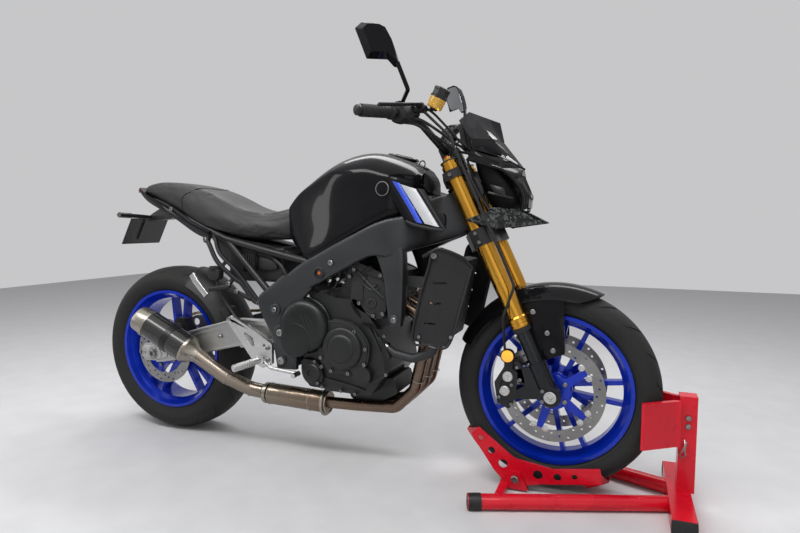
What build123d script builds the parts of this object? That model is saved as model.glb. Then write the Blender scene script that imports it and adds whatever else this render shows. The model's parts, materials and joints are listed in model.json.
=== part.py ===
from build123d import *
import os
from math import atan2, cos, degrees, pi, radians, sin, sqrt

# A naked three-cylinder street motorcycle standing in a front wheel stand.
# Working frame while modelling: X forward from the rear axle, Y to the left,
# Z up from the floor. The finished pieces are shifted along X at the end, so
# that the origin lies on the floor under the middle of the whole object.

# Driving dimensions, in millimetres and degrees
wheelbase = 1430.0
rake = 25.0
fork_offset = 29.0
stand_lift = 8.0

front_tyre_r = 300.0
front_tyre_w = 120.0
front_rim_w = 89.0
rear_tyre_r = 315.0
rear_tyre_w = 180.0
rear_rim_w = 140.0
bead_seat_r = 216.5
rim_flange_r = 226.0
rim_flange_t = 6.0
tyre_shoulder_drop = 38.0
rear_shoulder_drop = 53.0

fork_half_spacing = 105.0
fork_tube_d = 54.0
fork_leg_d = 43.0
fork_tube_bottom = 212.0
fork_tube_top = 745.0
lower_yoke_s = 500.0
lower_yoke_t = 52.0
upper_yoke_s = 703.0
upper_yoke_t = 26.0
stem_d = 34.0
head_tube_d = 66.0

front_axle_d = 25.0
rear_axle_d = 25.0
axle_bore_d = 16.0
front_disc_r = 149.0
front_disc_w = 34.0
front_disc_y = 70.0
rear_disc_r = 122.5
rear_disc_w = 36.0
rear_disc_y = 98.0
disc_t = 5.0
caliper_gap = 5.0

bar_half_width = 388.0
bar_d = 22.2
bar_centre_d = 28.6
grip_d = 33.0
grip_length = 122.0

pivot_x = 570.0
pivot_z = 440.0
arm_t = 30.0

chain_y = 110.0
chain_pitch = 15.875
chain_plate_h = 15.0
chain_w = 18.0
rear_sprocket_teeth = 45
front_sprocket_teeth = 16
front_sprocket_x = 650.0
front_sprocket_z = 447.0

engine_half_width = 150.0
crank_x = 790.0
crank_z = 402.0
clutch_x = 655.0
clutch_z = 470.0

header_d = 38.0
collector_d = 72.0
silencer_d = 98.0

plate_w = 190.0
plate_h = 112.0
plate_t = 3.0

stand_tube_d = 46.0
stand_half_spread = 255.0
stand_plate_t = 5.0
stand_post_w = 46.0

side_stand_length = 268.0
side_stand_d = 21.0

# Clearances
running_gap = 0.05
seat_gap = 0.3
moving_gap = 5.0

# Derived places
front_axle_z = front_tyre_r + stand_lift
rear_axle_z = rear_tyre_r
sin_rake = sin(radians(rake))
cos_rake = cos(radians(rake))
fork_frame = Location((wheelbase, 0, front_axle_z), (0, -rake, 0))
stem_n = -fork_offset
front_spin = Location((wheelbase, 0, front_axle_z))
rear_spin = Location((0, 0, rear_axle_z))


def fork_point(n, s):
    """X and Z of a point n ahead of the fork line and s above the axle along it."""
    return (wheelbase + n * cos_rake - s * sin_rake,
            front_axle_z + n * sin_rake + s * cos_rake)


# Shape helpers

def outline(points, radius=0.0):
    """Closed flat outline with every corner rounded to one radius."""
    if radius:
        return make_face(FilletPolyline(*points, radius=radius, close=True))
    return make_face(Polyline(*points, close=True))


def side_slab(points, y_a, y_b, radius=0.0):
    """Slab with a side-view outline in X and Z, between two Y planes."""
    plane = Plane.XZ.offset(-max(y_a, y_b))
    return extrude(plane * outline(points, radius), amount=abs(y_a - y_b))


def top_slab(points, z_a, z_b, radius=0.0):
    """Slab with a plan outline in X and Y, between two heights."""
    plane = Plane.XY.offset(min(z_a, z_b))
    return extrude(plane * outline(points, radius), amount=abs(z_a - z_b))


def both_sides(half):
    """Plan outline closed over Y from its left half, listed front to back or back to front."""
    return half + [(x, -y) for x, y in reversed(half)]


def cross_section(x, half, radius):
    """Closed section across X from (half width, height) points, top to bottom."""
    points = half + [(-y, z) for y, z in reversed(half)]
    return Plane.YZ.offset(x) * outline(points, radius)


def rod(start, end, radius, end_radius=None):
    """Round bar, or a cone where the ends differ, between two points."""
    start, end = Vector(start), Vector(end)
    plane = Plane(start, z_dir=end - start)
    if end_radius is None:
        return extrude(plane * Circle(radius), amount=(end - start).length)
    far = Plane(end, z_dir=end - start)
    return loft([plane * Circle(radius), far * Circle(end_radius)])


def tube(points, diameter, bend):
    """Round tube along straight runs joined by tangent arcs."""
    path = FilletPolyline(*points, radius=bend)
    return sweep(Plane(path @ 0, z_dir=path % 0) * Circle(diameter / 2), path=path)


def across(x, z, y_a, y_b, radius):
    """Cylinder across the motorcycle between two Y planes."""
    return extrude(Plane((x, max(y_a, y_b), z), z_dir=(0, -1, 0)) * Circle(radius),
                   amount=abs(y_a - y_b))


def spun(profile):
    """Ring turned about the Y axis from (y, radius) points."""
    return revolve(Plane.YZ * make_face(Polyline(*profile, close=True)), Axis.Y)


def swept(profile, start, turn):
    """Part ring about the Y axis from (y, radius) points, from an angle above +X toward the rear."""
    face = Plane.YZ * make_face(Polyline(*profile, close=True))
    return revolve(Rot(0, 90 - start, 0) * face, Axis.Y, -turn)


def left_of(shape):
    return mirror(shape, about=Plane.XZ)


def pair(shape):
    return Compound(children=[shape, left_of(shape)])


def group(*shapes):
    return Compound(children=list(shapes))


def main_piece(shape):
    """Largest solid of a cut shape, without the offcuts."""
    return max(shape.solids(), key=lambda solid: solid.volume)


# Wheels

spoke_pairs = 5
hub_r = 36.0
hub_flange_r = 56.0
rim_well_r = 195.0


def tyre(radius, width, rim_w, shoulder_drop):
    bead = rim_w / 2 - seat_gap
    inner = bead_seat_r + seat_gap
    shoulder = radius - shoulder_drop
    half = width / 2
    flank = rim_flange_r + 2
    profile = Polyline((-half, shoulder), (-bead, flank), (-bead, inner), (bead, inner),
                       (bead, flank), (half, shoulder))
    crown = ThreePointArc((half, shoulder), (0, radius), (-half, shoulder))
    return revolve(Plane.YZ * make_face([profile, crown]), Axis.Y)


def rim(rim_w, hub_half, axle_d, spoke_t, first_spoke):
    """Cast wheel: dropped-centre ring, hub and pairs of spokes from a first angle above +X."""
    edge = rim_w / 2
    lip = edge + rim_flange_t
    ring = spun([(-lip, rim_flange_r), (-edge, rim_flange_r), (-edge, bead_seat_r),
                 (edge, bead_seat_r), (edge, rim_flange_r), (lip, rim_flange_r),
                 (lip, rim_flange_r - 11), (edge - 10, 206), (edge - 26, rim_well_r),
                 (26 - edge, rim_well_r), (10 - edge, 206), (-lip, rim_flange_r - 11)])
    hub = spun([(-hub_half, 0), (-hub_half, hub_flange_r), (-hub_half + 8, hub_flange_r),
                (-hub_half + 20, hub_r), (hub_half - 20, hub_r),
                (hub_half - 8, hub_flange_r), (hub_half, hub_flange_r), (hub_half, 0)])
    spoke_root, spoke_tip, half_root, half_tip = 13.0, 33.0, 9.0, 6.5
    tip_r, root_r = rim_well_r + 4, hub_r - 8
    half_spoke = [(root_r, spoke_root - half_root), (tip_r, spoke_tip - half_tip),
                  (tip_r, spoke_tip + half_tip), (root_r, spoke_root + half_root)]
    wheel = ring + hub
    for k in range(spoke_pairs):
        turn = Rot(0, k * 360 / spoke_pairs - first_spoke, 0)
        for side in (1, -1):
            points = [(r, side * w) for r, w in half_spoke]
            wheel += turn * side_slab(points, -spoke_t / 2, spoke_t / 2)
    return wheel - across(0, 0, -hub_half, hub_half, axle_d / 2 + running_gap)


def disc(radius, width, y):
    """Brake rotor with a scalloped row of drilled holes."""
    inner = radius - width
    ring = across(0, 0, y - disc_t / 2, y + disc_t / 2, radius)
    ring -= across(0, 0, y - disc_t / 2, y + disc_t / 2, inner)
    holes, rows = 12, 3
    drilled = []
    for k in range(holes):
        for row in range(rows):
            angle = radians(360 / holes * (k + row / rows))
            r = inner + width * (row + 1) / (rows + 1)
            drilled.append(across(r * cos(angle), r * sin(angle), y - disc_t, y + disc_t, 3.5))
    return ring - drilled


def disc_carrier(hub_half, y, reach):
    """Star that carries a rotor: a boss on the hub flange and arms with bobbins."""
    arms, arm_half = 5, 9.0
    side = 1 if y > 0 else -1
    boss = across(0, 0, hub_half * side, y + side * disc_t / 2, hub_flange_r - 4)
    for k in range(arms):
        turn = Rot(0, k * 360 / arms + 36, 0)
        arm = side_slab([(hub_r, -arm_half * 1.6), (reach + 4, -arm_half),
                         (reach + 4, arm_half), (hub_r, arm_half * 1.6)],
                        y - disc_t / 2, y + disc_t / 2)
        boss += turn * arm
    return boss - across(0, 0, 0, 2 * y, front_axle_d / 2 + moving_gap)


def front_wheel():
    hub_half = 52.0
    wheel = rim(front_rim_w, hub_half, front_axle_d, 26.0, 0.0)
    reach = front_disc_r - front_disc_w
    for y in (front_disc_y, -front_disc_y):
        wheel += disc_carrier(hub_half, y, reach)
    discs = [disc(front_disc_r, front_disc_w, y) for y in (front_disc_y, -front_disc_y)]
    wheel -= discs
    rubber = tyre(front_tyre_r, front_tyre_w, front_rim_w, tyre_shoulder_drop)
    return {"front_rim": front_spin * wheel,
            "front_discs": group(*[front_spin * d for d in discs]),
            "front_tyre": front_spin * rubber}


rear_hub_half = 84.0


def sprocket_radius(teeth):
    return chain_pitch / 2 / sin(pi / teeth)


def rear_wheel():
    wheel = rim(rear_rim_w, rear_hub_half, rear_axle_d, 34.0, 90.0)
    rotor = disc(rear_disc_r, rear_disc_w, -rear_disc_y)
    reach = rear_disc_r - rear_disc_w
    wheel += disc_carrier(rear_hub_half, -rear_disc_y, reach)
    tooth_tip = sprocket_radius(rear_sprocket_teeth) - chain_plate_h / 2 - 1.0
    tooth_root = tooth_tip - 4.0
    points = []
    for k in range(rear_sprocket_teeth):
        for share, r in ((0.0, tooth_root), (0.3, tooth_root), (0.5, tooth_tip), (0.8, tooth_tip)):
            angle = 2 * pi * (k + share) / rear_sprocket_teeth
            points.append((r * cos(angle), r * sin(angle)))
    half_t = 3.5
    sprocket = side_slab(points, chain_y - half_t, chain_y + half_t)
    sprocket -= across(0, 0, chain_y - half_t, chain_y + half_t, rear_axle_d / 2 + moving_gap)
    for k in range(spoke_pairs):
        angle = 2 * pi * (k + 0.5) / spoke_pairs
        r = (tooth_root + hub_flange_r) / 2
        sprocket -= across(r * cos(angle), r * sin(angle), chain_y - half_t, chain_y + half_t, 15)
    drum = across(0, 0, rear_hub_half, chain_y - half_t, hub_flange_r)
    drum -= across(0, 0, rear_hub_half, chain_y - half_t, rear_axle_d / 2 + moving_gap)
    rubber = tyre(rear_tyre_r, rear_tyre_w, rear_rim_w, rear_shoulder_drop)
    return {"rear_rim": rear_spin * (wheel + drum - rotor),
            "rear_disc": rear_spin * rotor,
            "rear_sprocket": rear_spin * sprocket,
            "rear_tyre": rear_spin * rubber}


# Front end: fork, yokes, axle and what they carry

lug_half_w = 22.0
lug_top = 103.0
front_hub_half = 52.0
axle_reach = fork_half_spacing + lug_half_w + 5
stem_bore_r = 9.0


def on_leg(shape):
    """Put a shape made about the fork line on the right fork leg."""
    return fork_frame * (Pos(0, -fork_half_spacing, 0) * shape)


def fork_tube():
    r = fork_tube_d / 2
    low, high = fork_tube_bottom, fork_tube_top
    profile = [(0, low), (r - 4, low), (r + 1, low + 6), (r + 1, low + 30), (r - 1.5, low + 34),
               (r - 1.5, low + 90), (r, low + 130), (r, high - 12), (r - 3, high - 12),
               (r - 3, high), (r - 12, high), (r - 12, high + 12), (0, high + 12)]
    body = revolve(Plane.XZ * make_face(Polyline(*profile, close=True)), Axis.Z)
    body -= Pos(0, 0, low + 20) * Cylinder(fork_leg_d / 2 + running_gap, 40)
    return on_leg(body)


def fork_leg():
    """Inner tube, axle lug and the two ears that carry the radial caliper."""
    leg_top = fork_tube_bottom + 40 - seat_gap
    leg = Pos(0, 0, (40 + leg_top) / 2) * Cylinder(fork_leg_d / 2, leg_top - 40)
    plane = Plane.XZ.offset(-lug_half_w)
    lug = extrude(plane * Circle(30), amount=2 * lug_half_w)
    neck = Pos(0, 0, lug_top / 2) * Cylinder(25.5, lug_top)
    neck &= Box(100, 2 * lug_half_w, 4 * lug_top)
    body = leg + neck + lug
    body -= extrude(plane * Circle(front_axle_d / 2 + running_gap), amount=2 * lug_half_w)
    ear_points = [(-30, 88), (-108, 64), (-108, 44), (-70, 24), (-108, 0), (-108, -22), (-30, -14)]
    ear = side_slab(ear_points, -fork_half_spacing + 7, -fork_half_spacing - 7, 4)
    hole = across(0, 0, -2 * fork_half_spacing, 0, front_axle_d / 2 + running_gap)
    return on_leg(body) + front_spin * (ear - hole)


def yoke(s, thickness, reach_back):
    """Flat clamp round both fork tubes and the steering stem."""
    eye = fork_tube_d / 2 + 11
    y = fork_half_spacing
    half = [(eye * 0.6, y * 0.35), (eye, y - 8), (eye * 0.7, y + eye * 0.75), (0, y + eye),
            (-eye * 0.7, y + eye * 0.75), (-eye, y - 12), (stem_n - reach_back, 26)]
    plan = outline(both_sides(half), 6)
    body = Pos(0, 0, s - thickness / 2) * extrude(plan, amount=thickness)
    for side in (1, -1):
        body -= Pos(0, side * y, s) * Cylinder(fork_tube_d / 2 + running_gap, thickness)
    return body


def yokes():
    low = lower_yoke_s - lower_yoke_t / 2
    high = upper_yoke_s + upper_yoke_t / 2 + 8
    body = yoke(lower_yoke_s, lower_yoke_t, 34.0) + yoke(upper_yoke_s, upper_yoke_t, 30.0)
    body += Pos(stem_n, 0, (low + high) / 2) * Cylinder(stem_d / 2, high - low)
    body += Pos(stem_n, 0, high) * extrude(RegularPolygon(19, 6), amount=8)
    body -= Pos(stem_n, 0, low + 20) * Cylinder(stem_bore_r, 40)
    return fork_frame * body


def front_axle():
    """Hollow shaft with collars that space the hub between the fork lugs."""
    shaft = across(0, 0, -axle_reach, axle_reach, front_axle_d / 2)
    lug_in = fork_half_spacing - lug_half_w
    lug_out = fork_half_spacing + lug_half_w
    for side in (1, -1):
        shaft += across(0, 0, side * (front_hub_half + seat_gap), side * (lug_in - seat_gap),
                        front_axle_d / 2 + 4)
        shaft += across(0, 0, side * axle_reach, side * (lug_out + seat_gap), front_axle_d / 2 + 5)
    shaft -= across(0, 0, -axle_reach, -axle_reach + 40, axle_bore_d / 2)
    return front_spin * shaft


bar_clamp_n = -5.0
bar_clamp_s = 786.0


def bar_path(side):
    """Bar centre line on one side, in fork coordinates (n, y, s)."""
    inner = bar_half_width - grip_length - 8
    return [(bar_clamp_n, 0, bar_clamp_s), (bar_clamp_n, side * 62, bar_clamp_s),
            (-22, side * 150, 884), (-46, side * inner, 906), (-98, side * bar_half_width, 915)]


def grip_line(side):
    """Inner end of a grip and the direction outward along it."""
    path = bar_path(side)
    along = (Vector(*path[4]) - Vector(*path[3])).normalized()
    return Vector(*path[4]) - along * grip_length, along


def handlebar():
    """Tapered bar with its grips, end weights and two clamp posts."""
    body = rod((bar_clamp_n, -60, bar_clamp_s), (bar_clamp_n, 60, bar_clamp_s), bar_centre_d / 2)
    for side in (1, -1):
        inner, along = grip_line(side)
        body += tube(bar_path(side), bar_d, 36)
        body += rod(inner, inner + along * (grip_length - 6), grip_d / 2)
        body += rod(inner + along * (grip_length - 8), inner + along * (grip_length + 10), bar_d / 2 + 3)
    foot = upper_yoke_s + upper_yoke_t / 2
    top = bar_clamp_s + 21
    post_y, post_w = 40.0, 26.0
    points = [(-27, foot), (18, foot), (17, top), (-27, top)]
    for side in (1, -1):
        plane = Plane.XZ.offset(-side * post_y - post_w / 2)
        body += extrude(plane * outline(points, 4), amount=post_w)
    return fork_frame * body


def bar_control(side):
    """Switch cube, lever perch, lever and, on the right, the brake fluid pot."""
    inner, along = grip_line(side)
    local = Plane(inner, x_dir=(1, 0, 0), z_dir=-along)
    cube = local * (Pos(0, 0, 21) * fillet(Box(44, 42, 38).edges(), 8))
    perch = local * (Pos(0, 0, 53) * Cylinder(20, 28))
    pump = local * (Pos(26, 0, 62) * Rot(0, 24, 0) * Cylinder(12, 54))
    root = inner - along * 44 + Vector(44, 0, 0)
    neck = rod(inner - along * 52 + Vector(8, 0, 0), root, 9)
    lever = tube([root, inner + along * 10 + Vector(58, 0, -6), inner + along * 70 + Vector(60, 0, -12),
                  inner + along * (grip_length - 4) + Vector(50, 0, -10)], 11, 26)
    control = cube + perch + pump + neck + lever
    if side < 0:
        foot = inner - along * 78 + Vector(44, 26, 4)
        up = Vector(sin_rake, 0, cos_rake)
        control += rod(inner - along * 62 + Vector(20, 0, 2), foot + up * 10, 7)
        control += rod(foot, foot + up * 48, 23)
        control += rod(foot + up * 48, foot + up * 60, 25)
    return fork_frame * control


mirror_t = 26.0
mirror_stem_d = 12.0
mirror_plane = Plane((1000, -375, 1275), x_dir=(0.783, 0.622, 0), z_dir=(0.621, -0.782, 0.05))


def mirror_right():
    """Kinked stem up from the brake perch to an angular shell, its glass toward the rider."""
    inner, along = grip_line(-1)
    foot = (fork_frame * Pos(*(inner - along * 55 + Vector(0, 0, 19)))).position
    kink, neck = Vector(1056, -298, 1160), mirror_plane.from_local_coords((52, -52, 0))
    stem = tube([foot, foot + Vector(6, -8, 16), kink, neck], mirror_stem_d, 14)
    stem += rod(foot, foot + Vector(5, -6, 12), mirror_stem_d - 1)
    back = [(-38, 46), (-57, 28), (-27, -48), (30, -45), (48, -63), (64, -64), (60, -40), (46, 0), (23, 39),
            (2, 47)]
    front = [(0.74 * u, 0.74 * v) for u, v in back]
    shell = loft([mirror_plane.offset(-mirror_t / 2) * outline(back, 4),
                  mirror_plane.offset(mirror_t / 2) * outline(front, 3)])
    return stem + shell


cowl_half = 110.0
scoop_depth = 9.0


def cowl_block():
    """Lamp mask as the common part of a side outline and a plan outline."""
    side = [(178, 640), (158, 618), (166, 552), (138, 528), (64, 560), (48, 630), (62, 720), (86, 778),
            (158, 774)]
    plan = [(40, cowl_half), (92, cowl_half - 4), (138, 92), (168, 60), (184, 34)]
    block = extrude(Plane.XZ.offset(-cowl_half) * outline(side, 6), amount=2 * cowl_half)
    block &= extrude(Plane.XY.offset(500) * outline(both_sides(plan), 5), amount=300)
    return block


def headlight_cowl():
    shell = cowl_block()
    shell -= Pos(70, 0, 690) * Box(110, 2 * cowl_half - 24, 110)
    shell -= Pos(170, 0, 586) * Rot(0, 90, 0) * Cylinder(33, 60)
    scoop = [(74, 716), (126, 704), (136, 640), (112, 588), (72, 606)]
    left_scoop = extrude(Plane.XZ.offset(-cowl_half) * outline(scoop, 6), amount=scoop_depth)
    shell -= [left_scoop, left_of(left_scoop)]
    for side in (1, -1):
        y = side * fork_half_spacing
        shell += Pos(30, y - side * 4, 640) * Box(60, 10, 40)
        shell -= Pos(0, y, 640) * Cylinder(fork_tube_d / 2 + seat_gap, 120)
    return fork_frame * shell


def headlight_lens():
    lens = Pos(149, 0, 586) * Rot(0, 90, 0) * Cylinder(33 - seat_gap, 18)
    return fork_frame * lens


def fly_screen():
    """Smoked visor: two raked panels that meet in a low nose and rise toward the rider's hands."""
    thickness = 4.0
    stations = ((0, 163, 768, 171, 802), (60, 118, 772, 109, 863), (92, 84, 776, 78, 846))
    sections = []
    for y, foot_n, foot_s, top_n, top_s in stations:
        points = [(foot_n, foot_s), (foot_n - thickness, foot_s), (top_n - thickness, top_s), (top_n, top_s)]
        sections.append(Plane.XZ.offset(y) * outline(points))
    right = loft(sections, ruled=True)
    return fork_frame * (right + left_of(right))


def facet(points, thickness):
    """Flat plate on three or more points that lie in one plane."""
    face = make_face(Polyline(*points, close=True))
    return extrude(face, amount=thickness / 2, both=True)


def winglet():
    """Two flat facets that fold along a crease under the lamp, right side."""
    rear, top, tip, low = (1182, -150, 811), (1285, -92, 856), (1393, -60, 803), (1265, -150, 786)
    blade = facet([rear, top, low], 5) + facet([top, tip, low], 5) + rod(top, low, 3.5)
    inner = (1290, -40, 838)
    return blade + rod(top, inner, 6)


def dash():
    body = fillet(Box(20, 124, 84).edges(), 6)
    post = Pos(84, 0, 762) * Box(60, 60, 18)
    return fork_frame * (Pos(62, 0, 805) * Rot(0, 14, 0) * body + post)


fender_gap = 14.0
fender_t = 4.0


def fender_band(radius, half, drop, start, turn):
    """Blade of constant section swept about the axle between two angles."""
    def edge(r, w):
        bend_w, bend_r = w * 0.72, r - drop * 0.2
        return [(-w, r - drop), (-bend_w, bend_r), (0, r), (bend_w, bend_r), (w, r - drop)]
    return swept(edge(radius + fender_t, half + fender_t) + list(reversed(edge(radius, half))), start, turn)


def front_fender():
    """Arched blade over the tyre with a cheek down each fork leg."""
    band = fender_band(front_tyre_r + fender_gap, front_tyre_w / 2 + 12, 40.0, 66.0, 90.0)
    cheek_points = [(-60, 280), (-20, 286), (30, 240), (34, 130), (8, 92), (-30, 92), (-78, 140), (-96, 250)]
    cheek_in = front_disc_y + disc_t / 2 + moving_gap + 2
    cheek = side_slab(cheek_points, -cheek_in, -cheek_in - fender_t, 6)
    cheek += side_slab([(-70, 264), (-48, 282), (0, 284), (26, 262), (20, 240), (-60, 240)],
                       -front_tyre_w / 2 - 12, -cheek_in - 1, 4)
    cheek += side_slab([(-84, 176), (-60, 186), (-44, 150), (-68, 140)], -cheek_in, -fork_half_spacing + 10)
    right = front_spin * cheek
    return front_spin * band + right + left_of(right)


def front_caliper():
    """Radial caliper body round the rotor, behind the right fork leg."""
    gap_in = front_disc_y - disc_t / 2 - caliper_gap
    gap_out = front_disc_y + disc_t / 2 + caliper_gap
    wall_in, wall_out = gap_in - 9, fork_half_spacing + 8
    points = [(-96, 60), (-134, 76), (-164, 24), (-154, -38), (-118, -54), (-100, -14)]
    body = side_slab(points, -wall_in, -wall_out, 8)
    body -= across(0, 0, -gap_in, -gap_out, front_disc_r + moving_gap)
    for px, pz in ((-124, 45), (-132, 2)):
        body += across(px, pz, -wall_out, -wall_out - 5, 15)
    return front_spin * body


def reflector():
    """Round reflector on a stalk off the caliper bracket."""
    y_in, y_out = fork_half_spacing + 3, fork_half_spacing + 24
    body = across(-124, 108, -y_in, -y_out, 18)
    stalk = side_slab([(-136, 70), (-112, 62), (-112, 100), (-136, 100)], -y_in, -y_in - 5)
    return front_spin * (body + stalk)


def brake_hose():
    """Line from the right perch down behind the fork tube to the right caliper."""
    inner, along = grip_line(-1)
    start = inner - along * 88 + Vector(30, 0, -4)
    points = [start, (46, -164, 800), (44, -162, 690), (44, -162, 450), (38, -146, 330),
              (-30, -140, 260), (-66, -97, 190), (-96, -97, 96)]
    return fork_frame * tube(points, 8, 30)


# Wheel stand under the front tyre

def stand_base():
    """Two floor tubes that meet a front cross bar, with a lug for the rocker."""
    r = stand_tube_d / 2
    body = Pos(stand_bar_x, 0, r) * Box(60, 390, stand_tube_d)
    body += Pos(rocker_x - 32, 0, 15) * Box(24, 2 * 222, 16)
    for side in (1, -1):
        rear, front = Vector(1225, side * stand_half_spread, r), Vector(stand_bar_x, side * 46, r)
        cap = (front - rear).normalized() * 24
        body += rod(rear, front, r - 1.5) + rod(rear, rear + cap, r)
        lug_y = side * (rocker_y + stand_plate_t)
        lug = [(rocker_x - 46, 7), (rocker_x + 40, 7), (rocker_x + 14, 60), (rocker_x - 14, 60)]
        body += side_slab(lug, lug_y + side * 1, lug_y + side * 9, 4)
    return body


stand_bar_x = 1780.0
rocker_x = 1330.0
rocker_y = 84.0
rocker_pin_z = 40.0


def stand_rocker():
    """Cradle: two side plates with lightening holes, tied by a trough under each arm."""
    plate_points = [(1192, 156), (1216, 180), (1326, 98), (1440, 82), (1570, 104), (1576, 58),
                    (1400, 30), (1344, 14), (1302, 14), (1262, 56)]
    plate = side_slab(plate_points, -rocker_y, -rocker_y - stand_plate_t, 5)
    holes = ((1222, 146, 8), (1256, 112, 11), (1292, 76, 14), (1396, 58, 14), (1452, 60, 11), (1500, 68, 8))
    for hx, hz, r in holes:
        plate -= across(hx, hz, -rocker_y, -rocker_y - stand_plate_t, r)
    body = plate + left_of(plate)
    floor_r, floor_half = front_tyre_r + moving_gap + 1, 30.0
    rim_r = floor_r + floor_half - rocker_y
    inner = [(-rocker_y - 1, rim_r - 1), (-floor_half, floor_r), (floor_half, floor_r),
             (rocker_y + 1, rim_r - 1)]
    outer = [(y, r + stand_plate_t) for y, r in reversed(inner)]
    for start in (211.0, 289.0):
        body += front_spin * swept(inner + outer, start, 13.0)
    for side in (1, -1):
        body += across(rocker_x, rocker_pin_z, side * (rocker_y + 1), side * (rocker_y + 16), 8)
    return body


def stand_post():
    """Upright on the cross bar with the hinged stop in front of the tyre."""
    foot = stand_tube_d
    body = Pos(1795, 0, foot + 138) * Box(stand_post_w, stand_post_w, 276)
    stop = [(1776, 22), (1756, 28), (1672, 90), (1672, 102), (1680, 102), (1764, 40), (1776, 38)]
    flap = top_slab([(x, -y) for x, y in stop], 180, 310)
    return body + flap + left_of(flap)


# Chassis: frame, engine and rear end

frame_half = 190.0
plate_in = 150.0
plate_out = 176.0


def main_frame():
    """Twin cast spars from the steering head back to the swingarm pivot."""
    top = fork_point(stem_n, upper_yoke_s - upper_yoke_t / 2 - 6)
    low = fork_point(stem_n, lower_yoke_s + lower_yoke_t / 2 + 6)
    under_yoke = fork_point(-72, upper_yoke_s - upper_yoke_t / 2 - 12)
    side_points = [(478, 556), (620, 657), (899, 797), (932, 811), (1010, 826), under_yoke,
                   (top[0] + 12, top[1] - 8), (low[0] + 12, low[1] + 2), (1086, 744), (1004, 722),
                   (992, 494), (950, 490), (926, 690), (880, 700), (668, 584), (628, 520), (622, 330),
                   (548, 318), (528, 430), (478, 510)]
    plan = [(1176, 20), (1176, 36), (1120, 56), (1060, 94), (1000, 172), (930, frame_half),
            (840, frame_half), (620, plate_out), (470, plate_out - 4), (470, plate_in), (640, plate_in),
            (840, 154), (930, 152), (994, 132), (1062, 40), (1090, 20)]
    spar = extrude(Plane.XY.offset(250) * outline(plan), amount=800)
    spar &= side_slab(side_points, 0, frame_half + 10, 8)
    head = rod((low[0], 0, low[1]), (top[0], 0, top[1]), head_tube_d / 2)
    body = spar + left_of(spar) + head
    body += across(520, 575, -plate_in - 5, plate_in + 5, 15)
    body += across(592, 345, -plate_in - 5, plate_in + 5, 13)
    body += across(pivot_x, pivot_z, plate_out - 2, plate_out + 8, 24)
    body += across(pivot_x, pivot_z, -plate_out + 2, -plate_out - 8, 24)
    axis = Vector(-sin_rake, 0, cos_rake)
    bore_start = Vector(low[0], 0, low[1]) - axis * 40
    body -= rod(bore_start, bore_start + axis * 280, stem_d / 2 + running_gap)
    body += stand_boss()
    return body


stand_tilt = 22.0
stand_pivot = Vector(596, 176, 292)
stand_axis = Vector(0, cos(radians(stand_tilt)), sin(radians(stand_tilt)))


def stand_boss():
    """Boss and pin on the left plate that the side stand turns on."""
    root = stand_pivot - stand_axis * 26
    boss = rod(root, stand_pivot, 15)
    tie = side_slab([(552, 340), (630, 340), (612, 272), (580, 272)], plate_in + 2, plate_in + 16, 4)
    pin = rod(stand_pivot, stand_pivot + stand_axis * 27, 7)
    head = rod(stand_pivot + stand_axis * 22, stand_pivot + stand_axis * 27, 11)
    return boss + tie + pin + head


def side_stand():
    """Prop folded back along the left side: an eye, a leg and a foot."""
    t = side_stand_d
    eye = rod(stand_pivot + stand_axis * 1, stand_pivot + stand_axis * (t + 1), 15)
    mid = stand_pivot + stand_axis * (1 + t / 2)
    leg = rod(mid, mid - Vector(side_stand_length, 0, 0), t / 2 - 1.5)
    foot = mid - Vector(side_stand_length - 8, 0, 0)
    pad = rod(foot - Vector(4, 0, 0), foot + Vector(6, 0, 0), 24)
    body = eye + leg + pad
    return body - rod(stand_pivot, stand_pivot + stand_axis * 27, 7 + running_gap)


rail_d = 28.0


def seat_rails(diameter):
    upper = tube([(640, -112, 668), (470, -112, 704), (300, -106, 742), (60, -78, 834), (-60, -56, 872)],
                 diameter, 140)
    return upper + left_of(upper)


def subframe():
    """Tubular rails that carry the seat, with a strut and two cross bars."""
    body = seat_rails(rail_d)
    for side in (1, -1):
        body += rod((500, side * 140, 566), (300, side * 106, 742), 12)
        body += rod((628, side * 112, 670), (620, side * 152, 640), 11)
    body += rod((300, -106, 742), (300, 106, 742), 11)
    body += rod((40, -75, 840), (40, 75, 840), 10)
    return body


def fuel_tank():
    stations = ((548, 868, 842, 742, 62, 84, 82), (640, 950, 902, 672, 70, 112, 128),
                (740, 1006, 946, 712, 84, 140, 156), (850, 1029, 956, 768, 92, 162, 172),
                (950, 1010, 936, 808, 84, 168, 164), (1024, 972, 914, 824, 60, 120, 104))
    sections = []
    for x, top, shoulder, low, top_half, mid_half, low_half in stations:
        half = [(top_half * 0.5, top), (top_half, top - 12), (mid_half, shoulder), (low_half, low + 30),
                (low_half * 0.86, low)]
        sections.append(cross_section(x, half, 8))
    return loft(sections)


def air_duct():
    """Right intake wing beside the tank, with a slanted mouth toward the fork."""
    points = [(962, 934), (1000, 912), (1122, 818), (1108, 786), (1040, 806), (968, 840), (944, 900)]
    body = side_slab(points, -160, -196, 8)
    body += side_slab([(960, 920), (1000, 900), (1000, 850), (960, 850)], -100, -162, 4)
    return body


def seat():
    stations = ((572, 880, 748, 58, 66), (520, 846, 744, 84, 92), (440, 834, 744, 112, 122),
                (330, 858, 754, 124, 136), (200, 914, 782, 118, 130), (90, 938, 836, 106, 112),
                (-40, 948, 886, 84, 88), (-126, 940, 910, 56, 58))
    sections = []
    for x, top, low, top_half, low_half in stations:
        half = [(top_half * 0.6, top), (top_half, top - 12), (low_half, (top + low) / 2 - 6),
                (low_half * 0.92, low)]
        sections.append(cross_section(x, half, 6))
    return loft(sections)


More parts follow.
